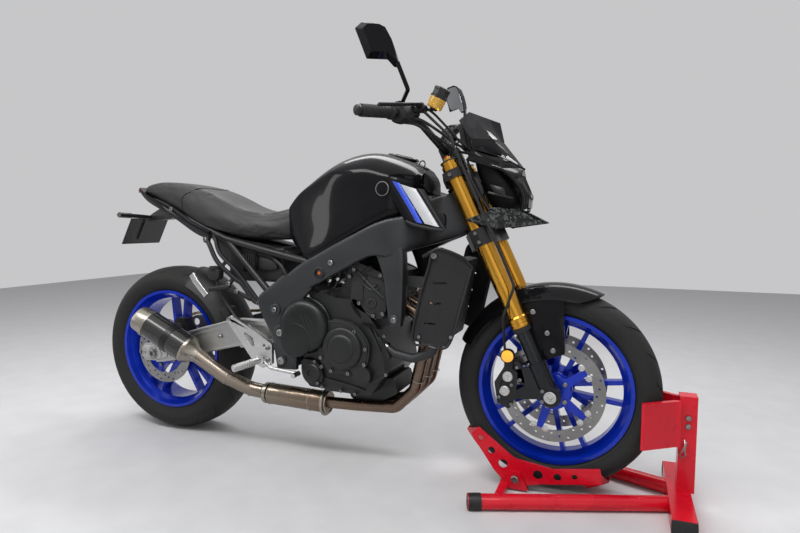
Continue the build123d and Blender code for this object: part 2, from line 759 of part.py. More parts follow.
def tail_cowl():
    """Slim tail under the pillion seat, closed below."""
    stations = ((236, 784, 742, 118, 112), (90, 836, 796, 108, 96), (-40, 888, 852, 84, 72),
                (-130, 916, 890, 56, 46), (-158, 934, 914, 44, 40))
    sections = []
    for x, top, low, top_half, low_half in stations:
        sections.append(cross_section(x, [(top_half, top), (low_half, low)], 4))
    return loft(sections)


def tail_lamp():
    return Pos(-162, 0, 922) * Box(12, 76, 16)


def plate_holder():
    """Arm below the tail with the blank plate and two slim indicators."""
    arm = side_slab([(40, 836), (-50, 866), (-110, 836), (-142, 818), (-136, 804), (-30, 812)], -24, 24, 3)
    lean = degrees(atan2(55, 104))
    plate = Pos(-176, 0, 764) * Rot(0, lean, 0) * Box(plate_t, plate_w, plate_h)
    spine = Pos(-168, 0, 778) * Rot(0, lean, 0) * Box(14, 60, 100)
    body = arm + spine + plate
    for side in (1, -1):
        body += rod((-124, side * 10, 818), (-140, side * 112, 824), 7)
        body += rod((-140, side * 108, 824), (-144, side * 158, 826), 10)
    return body


def engine_block():
    """Crankcase, gearbox and three cylinders leaning forward in one casting."""
    half = engine_half_width
    case = side_slab([(700, 300), (700, 560), (830, 560), (905, 470), (930, 330), (880, 254), (720, 254)],
                     -half, half, 16)
    gearbox = side_slab([(626, 390), (640, 540), (700, 580), (760, 560), (760, 258), (660, 262), (630, 300)],
                        -half, 96, 14)
    barrel = side_slab([(745, 520), (800, 690), (935, 640), (960, 560), (950, 500), (860, 430)],
                       -128, 128, 10)
    sump = side_slab([(760, 260), (930, 300), (946, 250), (880, 214), (780, 214)], -80, 80, 12)
    head_side, head_step = 128.0, 12.0
    head = [(806, 676), (922, 634), (940, 580), (906, 520), (830, 548), (786, 612)]
    for side in (1, -1):
        barrel += side_slab(head, side * (head_side - 2), side * (head_side + head_step), 10)
        barrel += across(884, 618, side * head_side, side * (head_side + head_step + 6), 36)
        for rib in range(3):
            foot_x, foot_z = 790 + 34 * rib, 520 - 20 * rib
            barrel += side_slab([(foot_x, foot_z), (foot_x + 9, foot_z - 4), (foot_x + 45, foot_z + 78),
                                 (foot_x + 36, foot_z + 82)], side * (head_side - 2), side * (head_side + 9))
    sump_filter = across(858, 322, -half - 22, -half + 4, 30)
    body = case + gearbox + barrel + sump + sump_filter
    body += across(966, 512, -146, 146, 16)
    body += across(front_sprocket_x, front_sprocket_z, 90, chain_y + 4, 12)
    tip = sprocket_radius(front_sprocket_teeth) - chain_plate_h / 2 - 1.0
    body += across(front_sprocket_x, front_sprocket_z, chain_y - 3.5, chain_y + 3.5, tip)
    return body


def engine_covers():
    """Clutch and pickup covers on the right, generator and chain covers on the left."""
    half = engine_half_width
    clutch = across(clutch_x, clutch_z, -half, -half - 34, 90)
    clutch += across(clutch_x, clutch_z, -half, -half - 46, 74)
    casting = [(-92, -34), (-52, -84), (24, -90), (86, -52), (96, 22), (50, 80), (-34, 98), (-84, 56)]
    pickup = side_slab([(crank_x + dx, crank_z + dz) for dx, dz in casting], -half, -half - 18, 14)
    pickup += across(crank_x, crank_z, -half, -half - 32, 66)
    pickup += across(crank_x - 6, crank_z, -half, -half - 38, 38)
    generator = across(crank_x, crank_z, half, half + 36, 84)
    chain_cover = side_slab([(608, 400), (616, 500), (704, 516), (704, 390)], chain_y + 14, half - 2, 8)
    bridge = side_slab([(690, 400), (720, 400), (720, 500), (690, 500)], half, half + 8)
    bridge += side_slab([(690, 400), (702, 400), (702, 500), (690, 500)], half - 10, half + 8)
    return group(clutch + pickup, generator + chain_cover + bridge)


coolant_hose_d = 28.0


def radiator():
    """Core leaning with the fork, tanks at its ends, hung from the frame legs."""
    points = [(1150, 684), (1100, 430), (1066, 436), (1114, 690)]
    body = side_slab(points, -142, 142, 4)
    for side in (1, -1):
        body += side_slab([(1120, 640), (1108, 600), (985, 610), (985, 640)], side * 134, side * 142)
    coolant = [(1084, -118, 452), (1074, -126, 404), (1020, -142, 386), (958, -140, 396), (900, -132, 428)]
    body += tube(coolant, coolant_hose_d, 20)
    return body


def radiator_cover():
    """Slanted side panel on the right of the radiator."""
    side = [(1104, 731), (1176, 707), (1204, 674), (1144, 440), (1034, 452), (1062, 600)]
    plan = [(1026, -188), (1104, -198), (1212, -148), (1208, -140), (1104, -190), (1026, -180)]
    panel = side_slab(side, -130, -210, 8)
    panel &= extrude(Plane.XY.offset(400) * outline(plan), amount=400)
    for slot_x, slot_z in ((1118, 628), (1104, 568), (1090, 508)):
        panel -= Pos(slot_x, -180, slot_z) * Box(36, 80, 6)
    web = top_slab([(1080, -140), (1120, -140), (1120, -192), (1080, -192)], 534, 546)
    return panel + web


def exhaust():
    """Three header pipes gathered into one collector and a pipe to the silencer."""
    body = None
    for y in (-82, 0, 82):
        run = [(930, y, 560), (1010, y, 516), (1038, y, 420), (1004, y, 270), (940, y * 0.8 - 20, 205),
               (800, -90, 198), (690, -100, 198)]
        pipe = tube(run, header_d, 40)
        body = pipe if body is None else body + pipe
    body += rod((705, -100, 198), (480, -108, 206), collector_d / 2)
    body += tube([(490, -108, 206), (400, -112, 214), (330, -160, 262), silencer_in], 50, 60)
    return body


silencer_in = Vector(236, -194, 336)
silencer_out = Vector(2, -216, 458)


def silencer():
    """Round can rising to the rear, with an entry cone and an end ring."""
    along = (silencer_out - silencer_in).normalized()
    total = (silencer_out - silencer_in).length
    r = silencer_d / 2
    body = rod(silencer_in, silencer_in + along * 46, 29, r - 2)
    body += rod(silencer_in + along * 46, silencer_in + along * total, r)
    body -= rod(silencer_in + along * (total - 40), silencer_in + along * (total + 5), 27)
    body += rod(silencer_in + along * (total - 12), silencer_in + along * total, r + 2) - rod(
        silencer_in + along * (total - 20), silencer_in + along * (total + 5), 30)
    return body


def swingarm():
    """Braced arms either side of the rear tyre, tied ahead of it."""
    arm_out = plate_in - 1.0
    arm_in = arm_out - arm_t
    points = [(596, 420), (600, 456), (560, 472), (371, 467), (200, 420), (60, 364), (-48, 348), (-60, 315),
              (-48, 284), (60, 290), (371, 371), (560, 408)]
    arm = side_slab(points, -arm_in, -arm_out, 10)
    pocket = [(530, 424), (530, 452), (380, 448), (210, 402), (70, 350), (70, 306), (372, 388)]
    arm -= side_slab(pocket, -arm_out + 5, -arm_out, 8)
    body = arm + left_of(arm)
    body += across(pivot_x, pivot_z, -arm_out, arm_out, 25)
    body += side_slab([(380, 366), (380, 448), (460, 450), (460, 380)], -arm_out + 2, arm_out - 2, 8)
    body -= across(0, rear_axle_z, -arm_out, arm_out, rear_axle_d / 2 + running_gap)
    return body


def rear_axle():
    arm_out = plate_in - 1.0
    arm_in = arm_out - arm_t
    reach = arm_out + 8
    shaft = across(0, 0, -reach, reach, rear_axle_d / 2)
    shaft += across(0, 0, -reach, -arm_out - seat_gap, 20) + across(0, 0, arm_out + seat_gap, reach, 20)
    shaft += across(0, 0, -rear_hub_half - seat_gap, -arm_in + seat_gap, rear_axle_d / 2 + 3)
    shaft += across(0, 0, rear_hub_half + seat_gap, arm_in - seat_gap, rear_axle_d / 2 + 3)
    shaft -= across(0, 0, -reach, -reach + 40, axle_bore_d / 2)
    return rear_spin * shaft


def chain():
    """Closed loop of plates round both sprockets."""
    big, small = sprocket_radius(rear_sprocket_teeth), sprocket_radius(front_sprocket_teeth)
    dx, dz = front_sprocket_x, front_sprocket_z - rear_axle_z
    span = sqrt(dx * dx + dz * dz)
    tilt, spread = atan2(dz, dx), atan2(big - small, span)

    def loop(offset):
        rear_r, front_r = big + offset, small + offset
        points = []
        first = tilt - pi / 2 + spread
        for k in range(37):
            angle = first - (pi + 2 * spread) * k / 36
            points.append((rear_r * cos(angle), rear_axle_z + rear_r * sin(angle)))
        first = tilt + pi / 2 - spread
        for k in range(13):
            angle = first - (pi - 2 * spread) * k / 12
            points.append((dx + front_r * cos(angle), front_sprocket_z + front_r * sin(angle)))
        return points

    half_w = chain_w / 2
    outer = side_slab(loop(chain_plate_h / 2), chain_y - half_w, chain_y + half_w)
    return outer - side_slab(loop(-chain_plate_h / 2), chain_y - half_w, chain_y + half_w)


def rear_shock():
    """Damper and spring between the arm's cross member and the frame."""
    foot, head = Vector(452, 0, 436), Vector(512, 0, 566)
    along = (head - foot).normalized()
    return rod(foot, head, 14) + rod(foot + along * 20, head - along * 14, 30)


def rider_footrest():
    """Right heel plate with the peg and the brake pedal."""
    plate = side_slab([(352, 470), (376, 486), (470, 440), (536, 400), (536, 330), (500, 314), (466, 330)],
                      -plate_out + 6, -plate_out - 7, 6)
    plate -= side_slab([(410, 442), (462, 414), (470, 372)], -plate_out + 6, -plate_out - 7, 5)
    for hole_x, hole_z in ((380, 466), (506, 392), (500, 350)):
        plate -= across(hole_x, hole_z, -plate_out + 6, -plate_out - 7, 5)
    peg = rod((489, -plate_out, 341), (446, -270, 328), 11)
    pedal = tube([(506, -plate_out - 4, 336), (540, -196, 322), (652, -206, 316)], 12, 20)
    toe = rod((648, -200, 316), (648, -236, 316), 8)
    return plate + peg + pedal + toe


def pillion_footrest():
    """Right hanger in two rails with a folded peg."""
    body = tube([(252, -118, 744), (252, -140, 736), (330, -150, 600), (436, -150, 528)], 18, 8)
    body += rod((300, -146, 655), (386, -154, 560), 8)
    body += rod((352, -150, 588), (258, -222, 622), 11)
    body += rod((436, -150, 528), (478, -158, 526), 9)
    return body


def hugger():
    """Short blade over the front of the rear tyre, fixed to the arm."""
    band = fender_band(rear_tyre_r + 12, rear_tyre_w / 2 + 6, 62.0, 16.0, 56.0)
    tie = side_slab([(290, 430), (330, 440), (300, 500), (262, 490)], -rear_tyre_w / 3, -plate_in + 6, 4)
    return rear_spin * band + tie


def rear_caliper():
    """Single-piston caliper on a bracket above the right arm."""
    gap_in = rear_disc_y - disc_t / 2 - caliper_gap
    gap_out = rear_disc_y + disc_t / 2 + caliper_gap
    points = [(70, 80), (112, 60), (134, 90), (112, 130), (76, 132), (60, 104)]
    body = side_slab(points, -gap_in + 12, -gap_out - 10, 6)
    body -= across(0, 0, -gap_in, -gap_out, rear_disc_r + moving_gap)
    body += side_slab([(60, 54), (110, 64), (116, 92), (76, 100)], -gap_out, -plate_in + 2, 4)
    return rear_spin * body


def battery_box():
    return Pos(420, 0, 655) * fillet(Box(230, 204, 120).edges(), 10)


def build():
    """Every named piece in the working frame, neighbours cut to sit flush."""
    p = {}
    p.update(front_wheel())
    p.update(rear_wheel())
    p["fork_tubes"] = pair(fork_tube())
    p["fork_legs"] = pair(fork_leg())
    p["yokes"] = yokes()
    p["front_axle"] = front_axle()
    p["handlebar"] = handlebar()
    p["bar_controls"] = group(bar_control(1) - p["handlebar"], bar_control(-1) - p["handlebar"])
    p["mirrors"] = pair(mirror_right() - bar_control(-1))
    p["headlight_cowl"] = headlight_cowl()
    p["headlight_lens"] = headlight_lens()
    p["fly_screen"] = fly_screen() - p["headlight_cowl"]
    p["winglets"] = pair(main_piece(winglet() - p["headlight_cowl"]))
    p["dash"] = main_piece(dash() - p["headlight_cowl"])
    p["front_fender"] = main_piece(front_fender() - p["fork_legs"] - p["fork_tubes"])
    p["front_calipers"] = pair(front_caliper() - fork_leg())
    p["reflectors"] = pair(reflector() - front_caliper())
    p["brake_hoses"] = brake_hose() - p["bar_controls"] - p["front_calipers"]
    p["stand_base"] = stand_base()
    p["stand_rocker"] = main_piece(stand_rocker() - p["stand_base"])
    p["stand_post"] = stand_post() - p["stand_base"]
    p["main_frame"] = main_frame()
    p["side_stand"] = side_stand()
    p["subframe"] = subframe() - p["main_frame"]
    p["fuel_tank"] = fuel_tank() - p["main_frame"] - p["subframe"]
    p["air_ducts"] = pair(air_duct() - p["fuel_tank"] - p["main_frame"])
    p["seat"] = seat() - p["fuel_tank"] - p["subframe"]
    p["tail_cowl"] = tail_cowl() - p["seat"] - p["subframe"]
    p["tail_lamp"] = tail_lamp() - p["tail_cowl"]
    p["plate_holder"] = main_piece(plate_holder() - p["tail_cowl"] - p["subframe"])
    p["engine_block"] = engine_block() - p["main_frame"]
    p["engine_covers"] = engine_covers() - p["engine_block"] - p["main_frame"]
    p["radiator"] = main_piece(radiator() - p["main_frame"] - p["engine_block"] - p["engine_covers"])
    p["radiator_covers"] = pair(radiator_cover() - p["radiator"])
    p["silencer"] = silencer()
    p["exhaust"] = exhaust() - p["engine_block"] - p["silencer"]
    p["swingarm"] = swingarm()
    p["rear_axle"] = rear_axle()
    p["chain"] = chain()
    p["rear_shock"] = rear_shock() - p["swingarm"] - p["main_frame"]
    p["rider_footrests"] = pair(rider_footrest()) - p["main_frame"]
    p["pillion_footrests"] = pair(pillion_footrest()) - p["main_frame"] - p["subframe"]
    p["hugger"] = hugger() - p["swingarm"]
    p["rear_caliper"] = rear_caliper() - p["swingarm"]
    p["battery_box"] = battery_box() - p["subframe"]
    return p


pieces = build()
boxes = [shape.bounding_box() for shape in pieces.values()]
rear_end, front_end = min(b.min.X for b in boxes), max(b.max.X for b in boxes)
to_origin = Pos(-(rear_end + front_end) / 2, 0, 0)
os.makedirs("parts", exist_ok=True)
for name, shape in pieces.items():
    export_step(to_origin * shape, f"parts/{name}.step")
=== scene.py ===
# %% [markdown]
# # A naked street motorcycle in a front wheel stand
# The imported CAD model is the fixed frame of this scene: every new surface is laid over it, in metres and in the
# same axes. The cells go from plain helpers to finishes, then from the biggest forms to the smallest.

# %% Load the frame
import bpy
import bmesh
import json
import math
import numpy as np
from mathutils import Matrix, Vector
from mathutils.bvhtree import BVHTree


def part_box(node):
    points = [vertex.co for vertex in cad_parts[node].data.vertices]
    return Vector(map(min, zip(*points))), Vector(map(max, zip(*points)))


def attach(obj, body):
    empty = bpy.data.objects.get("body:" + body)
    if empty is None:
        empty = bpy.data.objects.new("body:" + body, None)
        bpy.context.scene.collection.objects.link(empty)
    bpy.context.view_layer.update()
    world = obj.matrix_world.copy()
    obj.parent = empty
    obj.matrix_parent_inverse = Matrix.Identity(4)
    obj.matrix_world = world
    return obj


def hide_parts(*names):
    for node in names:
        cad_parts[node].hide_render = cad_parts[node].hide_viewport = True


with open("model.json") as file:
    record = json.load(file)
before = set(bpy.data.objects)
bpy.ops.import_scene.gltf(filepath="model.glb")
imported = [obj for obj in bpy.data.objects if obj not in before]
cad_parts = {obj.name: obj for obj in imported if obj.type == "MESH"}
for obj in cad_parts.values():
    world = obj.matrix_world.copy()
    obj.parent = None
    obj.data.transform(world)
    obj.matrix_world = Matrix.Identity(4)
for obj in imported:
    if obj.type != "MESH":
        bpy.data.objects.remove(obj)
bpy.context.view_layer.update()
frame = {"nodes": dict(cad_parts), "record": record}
nodes = frame["nodes"]
body_of = {node: body for body, members in frame["record"]["behaviour"]["bodies"].items() for node in members}

# %% [markdown]
# ## Measuring in the motorcycle's own millimetres
# The photograph was measured in millimetres from the floor under the rear axle, so that the numbers below can
# be checked against a workshop drawing. The rear tyre's box says where that point lies in the row frame. A
# second set of coordinates follows the raked fork: n ahead of the fork line, y to the left and s up from the
# front axle.

# %% Coordinates
rear_low, rear_high = (np.array(c) * 1000 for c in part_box("rear_tyre"))
front_low, front_high = (np.array(c) * 1000 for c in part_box("front_tyre"))
rear_axle = np.array([0.0, 0.0, (rear_low[2] + rear_high[2]) / 2])
floor_point = np.array([(rear_low[0] + rear_high[0]) / 2, 0.0, 0.0])
front_axle = (front_low + front_high) / 2 - floor_point
front_axle[1] = 0.0
rake = math.radians(25.0)
forward, to_left, to_right, upward = (1, 0, 0), (0, 1, 0), (0, -1, 0), (0, 0, 1)


def place(points):
    """Row-frame metres from workshop millimetres: add the rear axle's place, divide by a thousand."""
    return (np.asarray(points, float) + floor_point) * 0.001


def unplace(points):
    """Workshop millimetres from row-frame metres, the way back."""
    return np.asarray(points, float) * 1000 - floor_point


def fork(points):
    """Workshop millimetres from fork coordinates: turn n and s by the rake about the front axle."""
    n, y, s = np.moveaxis(np.asarray(points, float), -1, 0)
    x = front_axle[0] + n * math.cos(rake) - s * math.sin(rake)
    z = front_axle[2] + n * math.sin(rake) + s * math.cos(rake)
    return np.stack([x, y, z], axis=-1)


print("front axle at", front_axle.round(1), "rear axle at", rear_axle.round(1))

# %% [markdown]
# ## Surfaces as arrays
# Every new piece is a grid of points. A patch keeps the points, the quads that join neighbours and the place of
# each corner in the unit square, which becomes the UV map. Patches are joined into one mesh at the end, so a
# fan of bolts or a row of links costs no more code than one.

# %% Patches
def unit(vector):
    """The vector divided by its length."""
    return np.asarray(vector, float) / np.linalg.norm(vector)


def patch(grid, wrap_u=False, wrap_v=False):
    """Quads between neighbours of a grid of points; a wrap joins the last row or column to the first."""
    rows, cols = grid.shape[:2]
    i = np.arange(rows if wrap_u else rows - 1)[:, None]
    j = np.arange(cols if wrap_v else cols - 1)[None, :]
    corners = [(0, 0), (1, 0), (1, 1), (0, 1)]
    faces = np.stack([((i + a) % rows) * cols + (j + b) % cols for a, b in corners], axis=-1)
    span = np.array([rows if wrap_u else rows - 1, cols if wrap_v else cols - 1], float)
    ij = np.stack(np.broadcast_arrays(i, j), axis=-1)
    uv = np.stack([(ij + c) / span for c in np.array(corners)], axis=2)
    return grid.reshape(-1, 3), faces.reshape(-1, 4), uv.reshape(-1, 4, 2)


def sealed(ring):
    """Closed shell from rows of points that each run once round: both end rows are drawn to their middle."""
    poles = [ring[k:k + 1].mean(1, keepdims=True).repeat(ring.shape[1], 1) for k in (0, len(ring) - 1)]
    return patch(np.concatenate([poles[0], ring, poles[1]]), wrap_v=True)


def weld(patches):
    """One patch from many: points stacked, faces shifted by the points before them."""
    counts = np.cumsum([0] + [len(p[0]) for p in patches])
    points = np.concatenate([p[0] for p in patches])
    faces = np.concatenate([p[1] + c for p, c in zip(patches, counts)])
    return points, faces, np.concatenate([p[2] for p in patches])


def mirror_left(patches):
    """The same patches with Y turned round and the faces' order reversed, so that they still face outwards."""
    flip = np.array([1.0, -1.0, 1.0])
    return [(p[0] * flip, p[1][:, ::-1], p[2][:, ::-1]) for p in patches]


def both(patches):
    """Patches of the right side and their mirror image."""
    return patches + mirror_left(patches)


def piece(name, patches, material, slot, replaces=False, smooth=40.0):
    """Mesh of patches in millimetres: doubles merged, faces outward, riding the body of its slot's node."""
    points, faces, uv = weld(patches)
    mesh = bpy.data.meshes.new(name)
    mesh.from_pydata(place(points), [], faces)
    layer = mesh.uv_layers.new(name="UVMap")
    layer.data.foreach_set("uv", uv.reshape(-1).astype(np.float32))
    bm = bmesh.new()
    bm.from_mesh(mesh)
    bmesh.ops.remove_doubles(bm, verts=bm.verts, dist=2e-6)
    bmesh.ops.dissolve_degenerate(bm, dist=1e-7, edges=bm.edges)
    bmesh.ops.recalc_face_normals(bm, faces=bm.faces)
    bm.to_mesh(mesh)
    bm.free()
    mesh.shade_smooth()
    mesh.set_sharp_from_angle(angle=math.radians(smooth))
    mesh.materials.append(material)
    obj = bpy.data.objects.new(name, mesh)
    bpy.context.scene.collection.objects.link(obj)
    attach(obj, body_of[slot])
    if replaces:
        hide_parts(slot)
    print(name, len(mesh.polygons), "faces")
    return obj


def pair(name, patches, *rest, **more):
    """One piece of patches on both sides."""
    return piece(name, both(patches), *rest, **more)


# %% [markdown]
# Curves through measured points come from one formula, the Catmull-Rom cubic: between two points the curve
# leaves along the line that joins their outer neighbours. Using it both along and across a set of sections
# gives a smooth shell, which is how the tank, seat, spars and mask are made from a few measured stations.

# %% Curves and lofts
def curve(points, count, closed=False):
    """Catmull-Rom curve: cubic weights of the four nearest points at evenly spaced parameters."""
    points = np.asarray(points, float)
    last = len(points) if closed else len(points) - 1
    t = np.linspace(0, last, count, endpoint=not closed)
    k = np.minimum(np.floor(t).astype(int), last - 1)
    f = (t - k).reshape((-1,) + (1,) * (points.ndim - 1))
    if closed:
        p = [points[(k + d) % len(points)] for d in (-1, 0, 1, 2)]
    else:
        ends = np.concatenate([[2 * points[0] - points[1]], points, [2 * points[-1] - points[-2]]])
        p = [ends[k + d] for d in range(4)]
    return 0.5 * (2 * p[1] + (p[2] - p[0]) * f + (2 * p[0] - 5 * p[1] + 4 * p[2] - p[3]) * f ** 2
        + (3 * p[1] - p[0] - 3 * p[2] + p[3]) * f ** 3)


def loft(sections, rows, cols):
    """Shell through sections: a closed curve round each section, then curves along; the ends are sealed."""
    rings = np.stack([curve(s, cols, True) for s in np.asarray(sections, float)])
    return sealed(curve(rings, rows))


def carried(path, profile, up=upward):
    """A flat profile (side, normal) carried along a path, its normal kept near one direction; closed ends."""
    path, profile = np.asarray(path, float), np.asarray(profile, float)
    tangent = np.gradient(path, axis=0)
    tangent /= np.linalg.norm(tangent, axis=1, keepdims=True)
    side = np.cross(tangent, np.asarray(up, float))
    side /= np.linalg.norm(side, axis=1, keepdims=True)
    normal = np.cross(side, tangent)
    ring = path[:, None] + (profile[None, :, :1] * side[:, None] + profile[None, :, 1:] * normal[:, None])
    ends = [path[k:k + 1, None].repeat(len(profile), 1) for k in (0, len(path) - 1)]
    return patch(np.concatenate([ends[0], ring, ends[1]]), wrap_v=True)


def circle(radius, sides=20):
    """Points of a circle: radius times cosine and sine of equal steps of angle."""
    a = np.linspace(0, 2 * math.pi, sides, endpoint=False)
    return radius * np.stack([np.cos(a), np.sin(a)], axis=-1)


def hose(points, radius, count=60, sides=14, up=upward):
    """Round tube on a Catmull-Rom line through the given points."""
    return carried(curve(points, count), circle(radius, sides), up)


def turned(profile, centre, axis, sides=48, start=0.0, turn=2 * math.pi):
    """Profile (along, radius) turned about an axis: centre plus along times axis plus radius round it."""
    axis = unit(axis)
    ref = np.array([0.0, 0.0, 1.0]) if abs(axis[2]) < 0.9 else np.array([1.0, 0.0, 0.0])
    e1 = unit(np.cross(axis, np.cross(ref, axis)))
    e2 = np.cross(axis, e1)
    whole = abs(turn - 2 * math.pi) < 1e-6
    a = start + np.linspace(0, turn, sides, endpoint=not whole)
    spoke = np.cos(a)[:, None, None] * e1 + np.sin(a)[:, None, None] * e2
    profile = np.asarray(profile, float)
    grid = np.asarray(centre, float) + profile[None, :, :1] * axis + profile[None, :, 1:] * spoke
    return patch(grid, wrap_u=whole)


def outward(profile, at, sides):
    """Profile turned about the line that leaves the right side at one point."""
    return turned(profile, at, to_right, sides)


def studs(points, radius, height, axes=to_right, sides=12, socket=True):
    """One small domed screw head at every point: a short turned profile copied along each axis."""
    points = np.asarray(points, float).reshape(-1, 3)
    axes = np.broadcast_to(np.asarray(axes, float), points.shape)
    rim = [(0, radius), (height * 0.7, radius), (height, radius * 0.8)]
    hole = [(height, radius * 0.5), (height * 0.4, radius * 0.45), (height * 0.4, 0)]
    profile = rim + (hole if socket else [(height, 0)])
    return [turned(profile, p, a, sides) for p, a in zip(points, axes)]


print("helpers ready")

# %% [markdown]
# ## Shared surface effects
# Real paint, castings and plastics are never one flat colour: they drift slowly from place to place and carry a
# fine grain. Both effects are kept in one shader group that reads the object's own coordinates, so the pattern
# stays put in every pose. Each finish sets its own colours and scales on it.

# %% The drifting surface group
def socket(group, name, kind, value=None, out=False):
    """One named input or output of a shader group, with its starting value."""
    way = "OUTPUT" if out else "INPUT"
    item = group.interface.new_socket(name, in_out=way, socket_type="NodeSocket" + kind)
    if value is not None:
        item.default_value = value
    return item


def group_of(name, inputs, outputs):
    """Empty shader group with sockets (name, kind, value) and its two end nodes."""
    group = bpy.data.node_groups.new(name, "ShaderNodeTree")
    for label, kind, value in inputs:
        socket(group, label, kind, value)
    for label, kind in outputs:
        socket(group, label, kind, out=True)
    return group, group.nodes.new("NodeGroupInput"), group.nodes.new("NodeGroupOutput")


def feed(tree, entry, value):
    """A socket is linked to a node's input, and a plain value is set on it."""
    if hasattr(value, "is_output"):
        tree.links.new(value, entry)
    else:
        entry.default_value = value


def ranged(tree, value, low, high, to_low, to_high):
    """Map Range node: a value between low and high becomes one between the two ends, clamped."""
    node = tree.nodes.new("ShaderNodeMapRange")
    labels = ("Value", "From Min", "From Max", "To Min", "To Max")
    for label, end in zip(labels, (value, low, high, to_low, to_high)):
        feed(tree, node.inputs[label], end)
    return node.outputs["Result"]


def mixed(tree, factor, a, b):
    """Mix Color node between two colours, given as values or as sockets."""
    node = tree.nodes.new("ShaderNodeMix")
    node.data_type = "RGBA"
    for label, end in (("Factor", factor), ("A", a), ("B", b)):
        feed(tree, [s for s in node.inputs if s.name == label and s.enabled][0], end)
    return [s for s in node.outputs if s.enabled][0]


def arithmetic(tree, kind, a, b=0.0):
    """Math node of one kind on two values, given as numbers or as sockets."""
    node = tree.nodes.new("ShaderNodeMath")
    node.operation = kind
    for entry, end in zip(node.inputs, (a, b)):
        feed(tree, entry, end)
    return node.outputs[0]


def noise(tree, vector, scale, detail):
    """Noise texture read at a vector; the scale may be a number or a socket."""
    node = tree.nodes.new("ShaderNodeTexNoise")
    for label, value in (("Vector", vector), ("Scale", scale), ("Detail", detail)):
        feed(tree, node.inputs[label], value)
    return node.outputs["Fac"]


def object_coordinates(tree, stretch=None):
    """Object coordinates, or those stretched by a Mapping node, for patterns with a direction."""
    coordinates = tree.nodes.new("ShaderNodeTexCoord").outputs["Object"]
    if stretch is None:
        return coordinates
    mapping = tree.nodes.new("ShaderNodeMapping")
    tree.links.new(coordinates, mapping.inputs["Vector"])
    feed(tree, mapping.inputs["Scale"], stretch)
    return mapping.outputs["Vector"]


drift, drift_in, drift_out = group_of("drifting_surface", [("Colour", "Color", (0.1, 0.1, 0.1, 1)),
    ("Second Colour", "Color", (0.2, 0.2, 0.2, 1)), ("Smoothest", "Float", 0.3), ("Roughest", "Float", 0.5),
    ("Drift Scale", "Float", 9.0), ("Grain Scale", "Float", 900.0), ("Stretch", "Vector", (1, 1, 1))],
    [("Colour", "Color"), ("Roughness", "Float"), ("Height", "Float")])
drift_at = object_coordinates(drift)
drift_mask = ranged(drift, noise(drift, drift_at, drift_in.outputs["Drift Scale"], 4.0), 0.35, 0.65, 0.0, 1.0)
grain_at = object_coordinates(drift, drift_in.outputs["Stretch"])
grain = noise(drift, grain_at, drift_in.outputs["Grain Scale"], 3.0)
drift_colour = mixed(drift, drift_mask, drift_in.outputs["Colour"], drift_in.outputs["Second Colour"])
drift.links.new(drift_colour, drift_out.inputs["Colour"])
drift_rough = ranged(drift, drift_mask, 0.0, 1.0, drift_in.outputs["Smoothest"], drift_in.outputs["Roughest"])
drift.links.new(drift_rough, drift_out.inputs["Roughness"])
drift.links.new(grain, drift_out.inputs["Height"])
print("group", drift.name, [i.name for i in drift.interface.items_tree])

# %% [markdown]
# ## Finishes
# Most finishes differ only in a handful of numbers: the two colours they drift between, how rough they are, how
# coarse the grain is and how deep, whether they are metal and whether a clear coat lies on top. One function
# sets them on the shared group, and constants go straight on the shader's own sockets.

# %% Finish function
def set_inputs(node, values):
    """Plain values on the named inputs of a node."""
    for label, value in values.items():
        node.inputs[label].default_value = value


def shaded(name, effect, values, depth, relief, sockets):
    """Principled material: a group feeds colour, roughness and bump, plain values the other sockets."""
    material = bpy.data.materials.new(name)
    material.use_nodes = True
    tree = material.node_tree
    shader = tree.nodes["Principled BSDF"]
    group = tree.nodes.new("ShaderNodeGroup")
    group.node_tree = effect
    bump = tree.nodes.new("ShaderNodeBump")
    for node, plain in ((group, values), (bump, {"Strength": depth, "Distance": relief}), (shader, sockets)):
        set_inputs(node, plain)
    tree.links.new(group.outputs["Colour"], shader.inputs["Base Color"])
    tree.links.new(group.outputs["Roughness"], shader.inputs["Roughness"])
    tree.links.new(group.outputs["Height"], bump.inputs["Height"])
    tree.links.new(bump.outputs["Normal"], shader.inputs["Normal"])
    return material


def finish(name, colour, second=None, rough=(0.3, 0.45), metal=0.0, coat=0.0, grain=900.0, depth=0.05,
        stretch=(1, 1, 1), specular=0.5):
    """Finish on the drifting surface group, with a bump from its grain."""
    values = {"Colour": (*colour, 1), "Second Colour": (*(second or colour), 1), "Smoothest": rough[0],
        "Roughest": rough[1], "Drift Scale": 9.0, "Grain Scale": grain, "Stretch": stretch}
    sockets = {"Metallic": metal, "Coat Weight": coat, "Coat Roughness": 0.03, "Specular IOR Level": specular}
    return shaded(name, drift, values, depth, 0.0006, sockets)


def parts_of(material):
    """The node tree, the Principled shader and the drifting group of a finish."""
    tree = material.node_tree
    group = [n for n in tree.nodes if n.bl_idname == "ShaderNodeGroup"][0]
    return tree, tree.nodes["Principled BSDF"], group


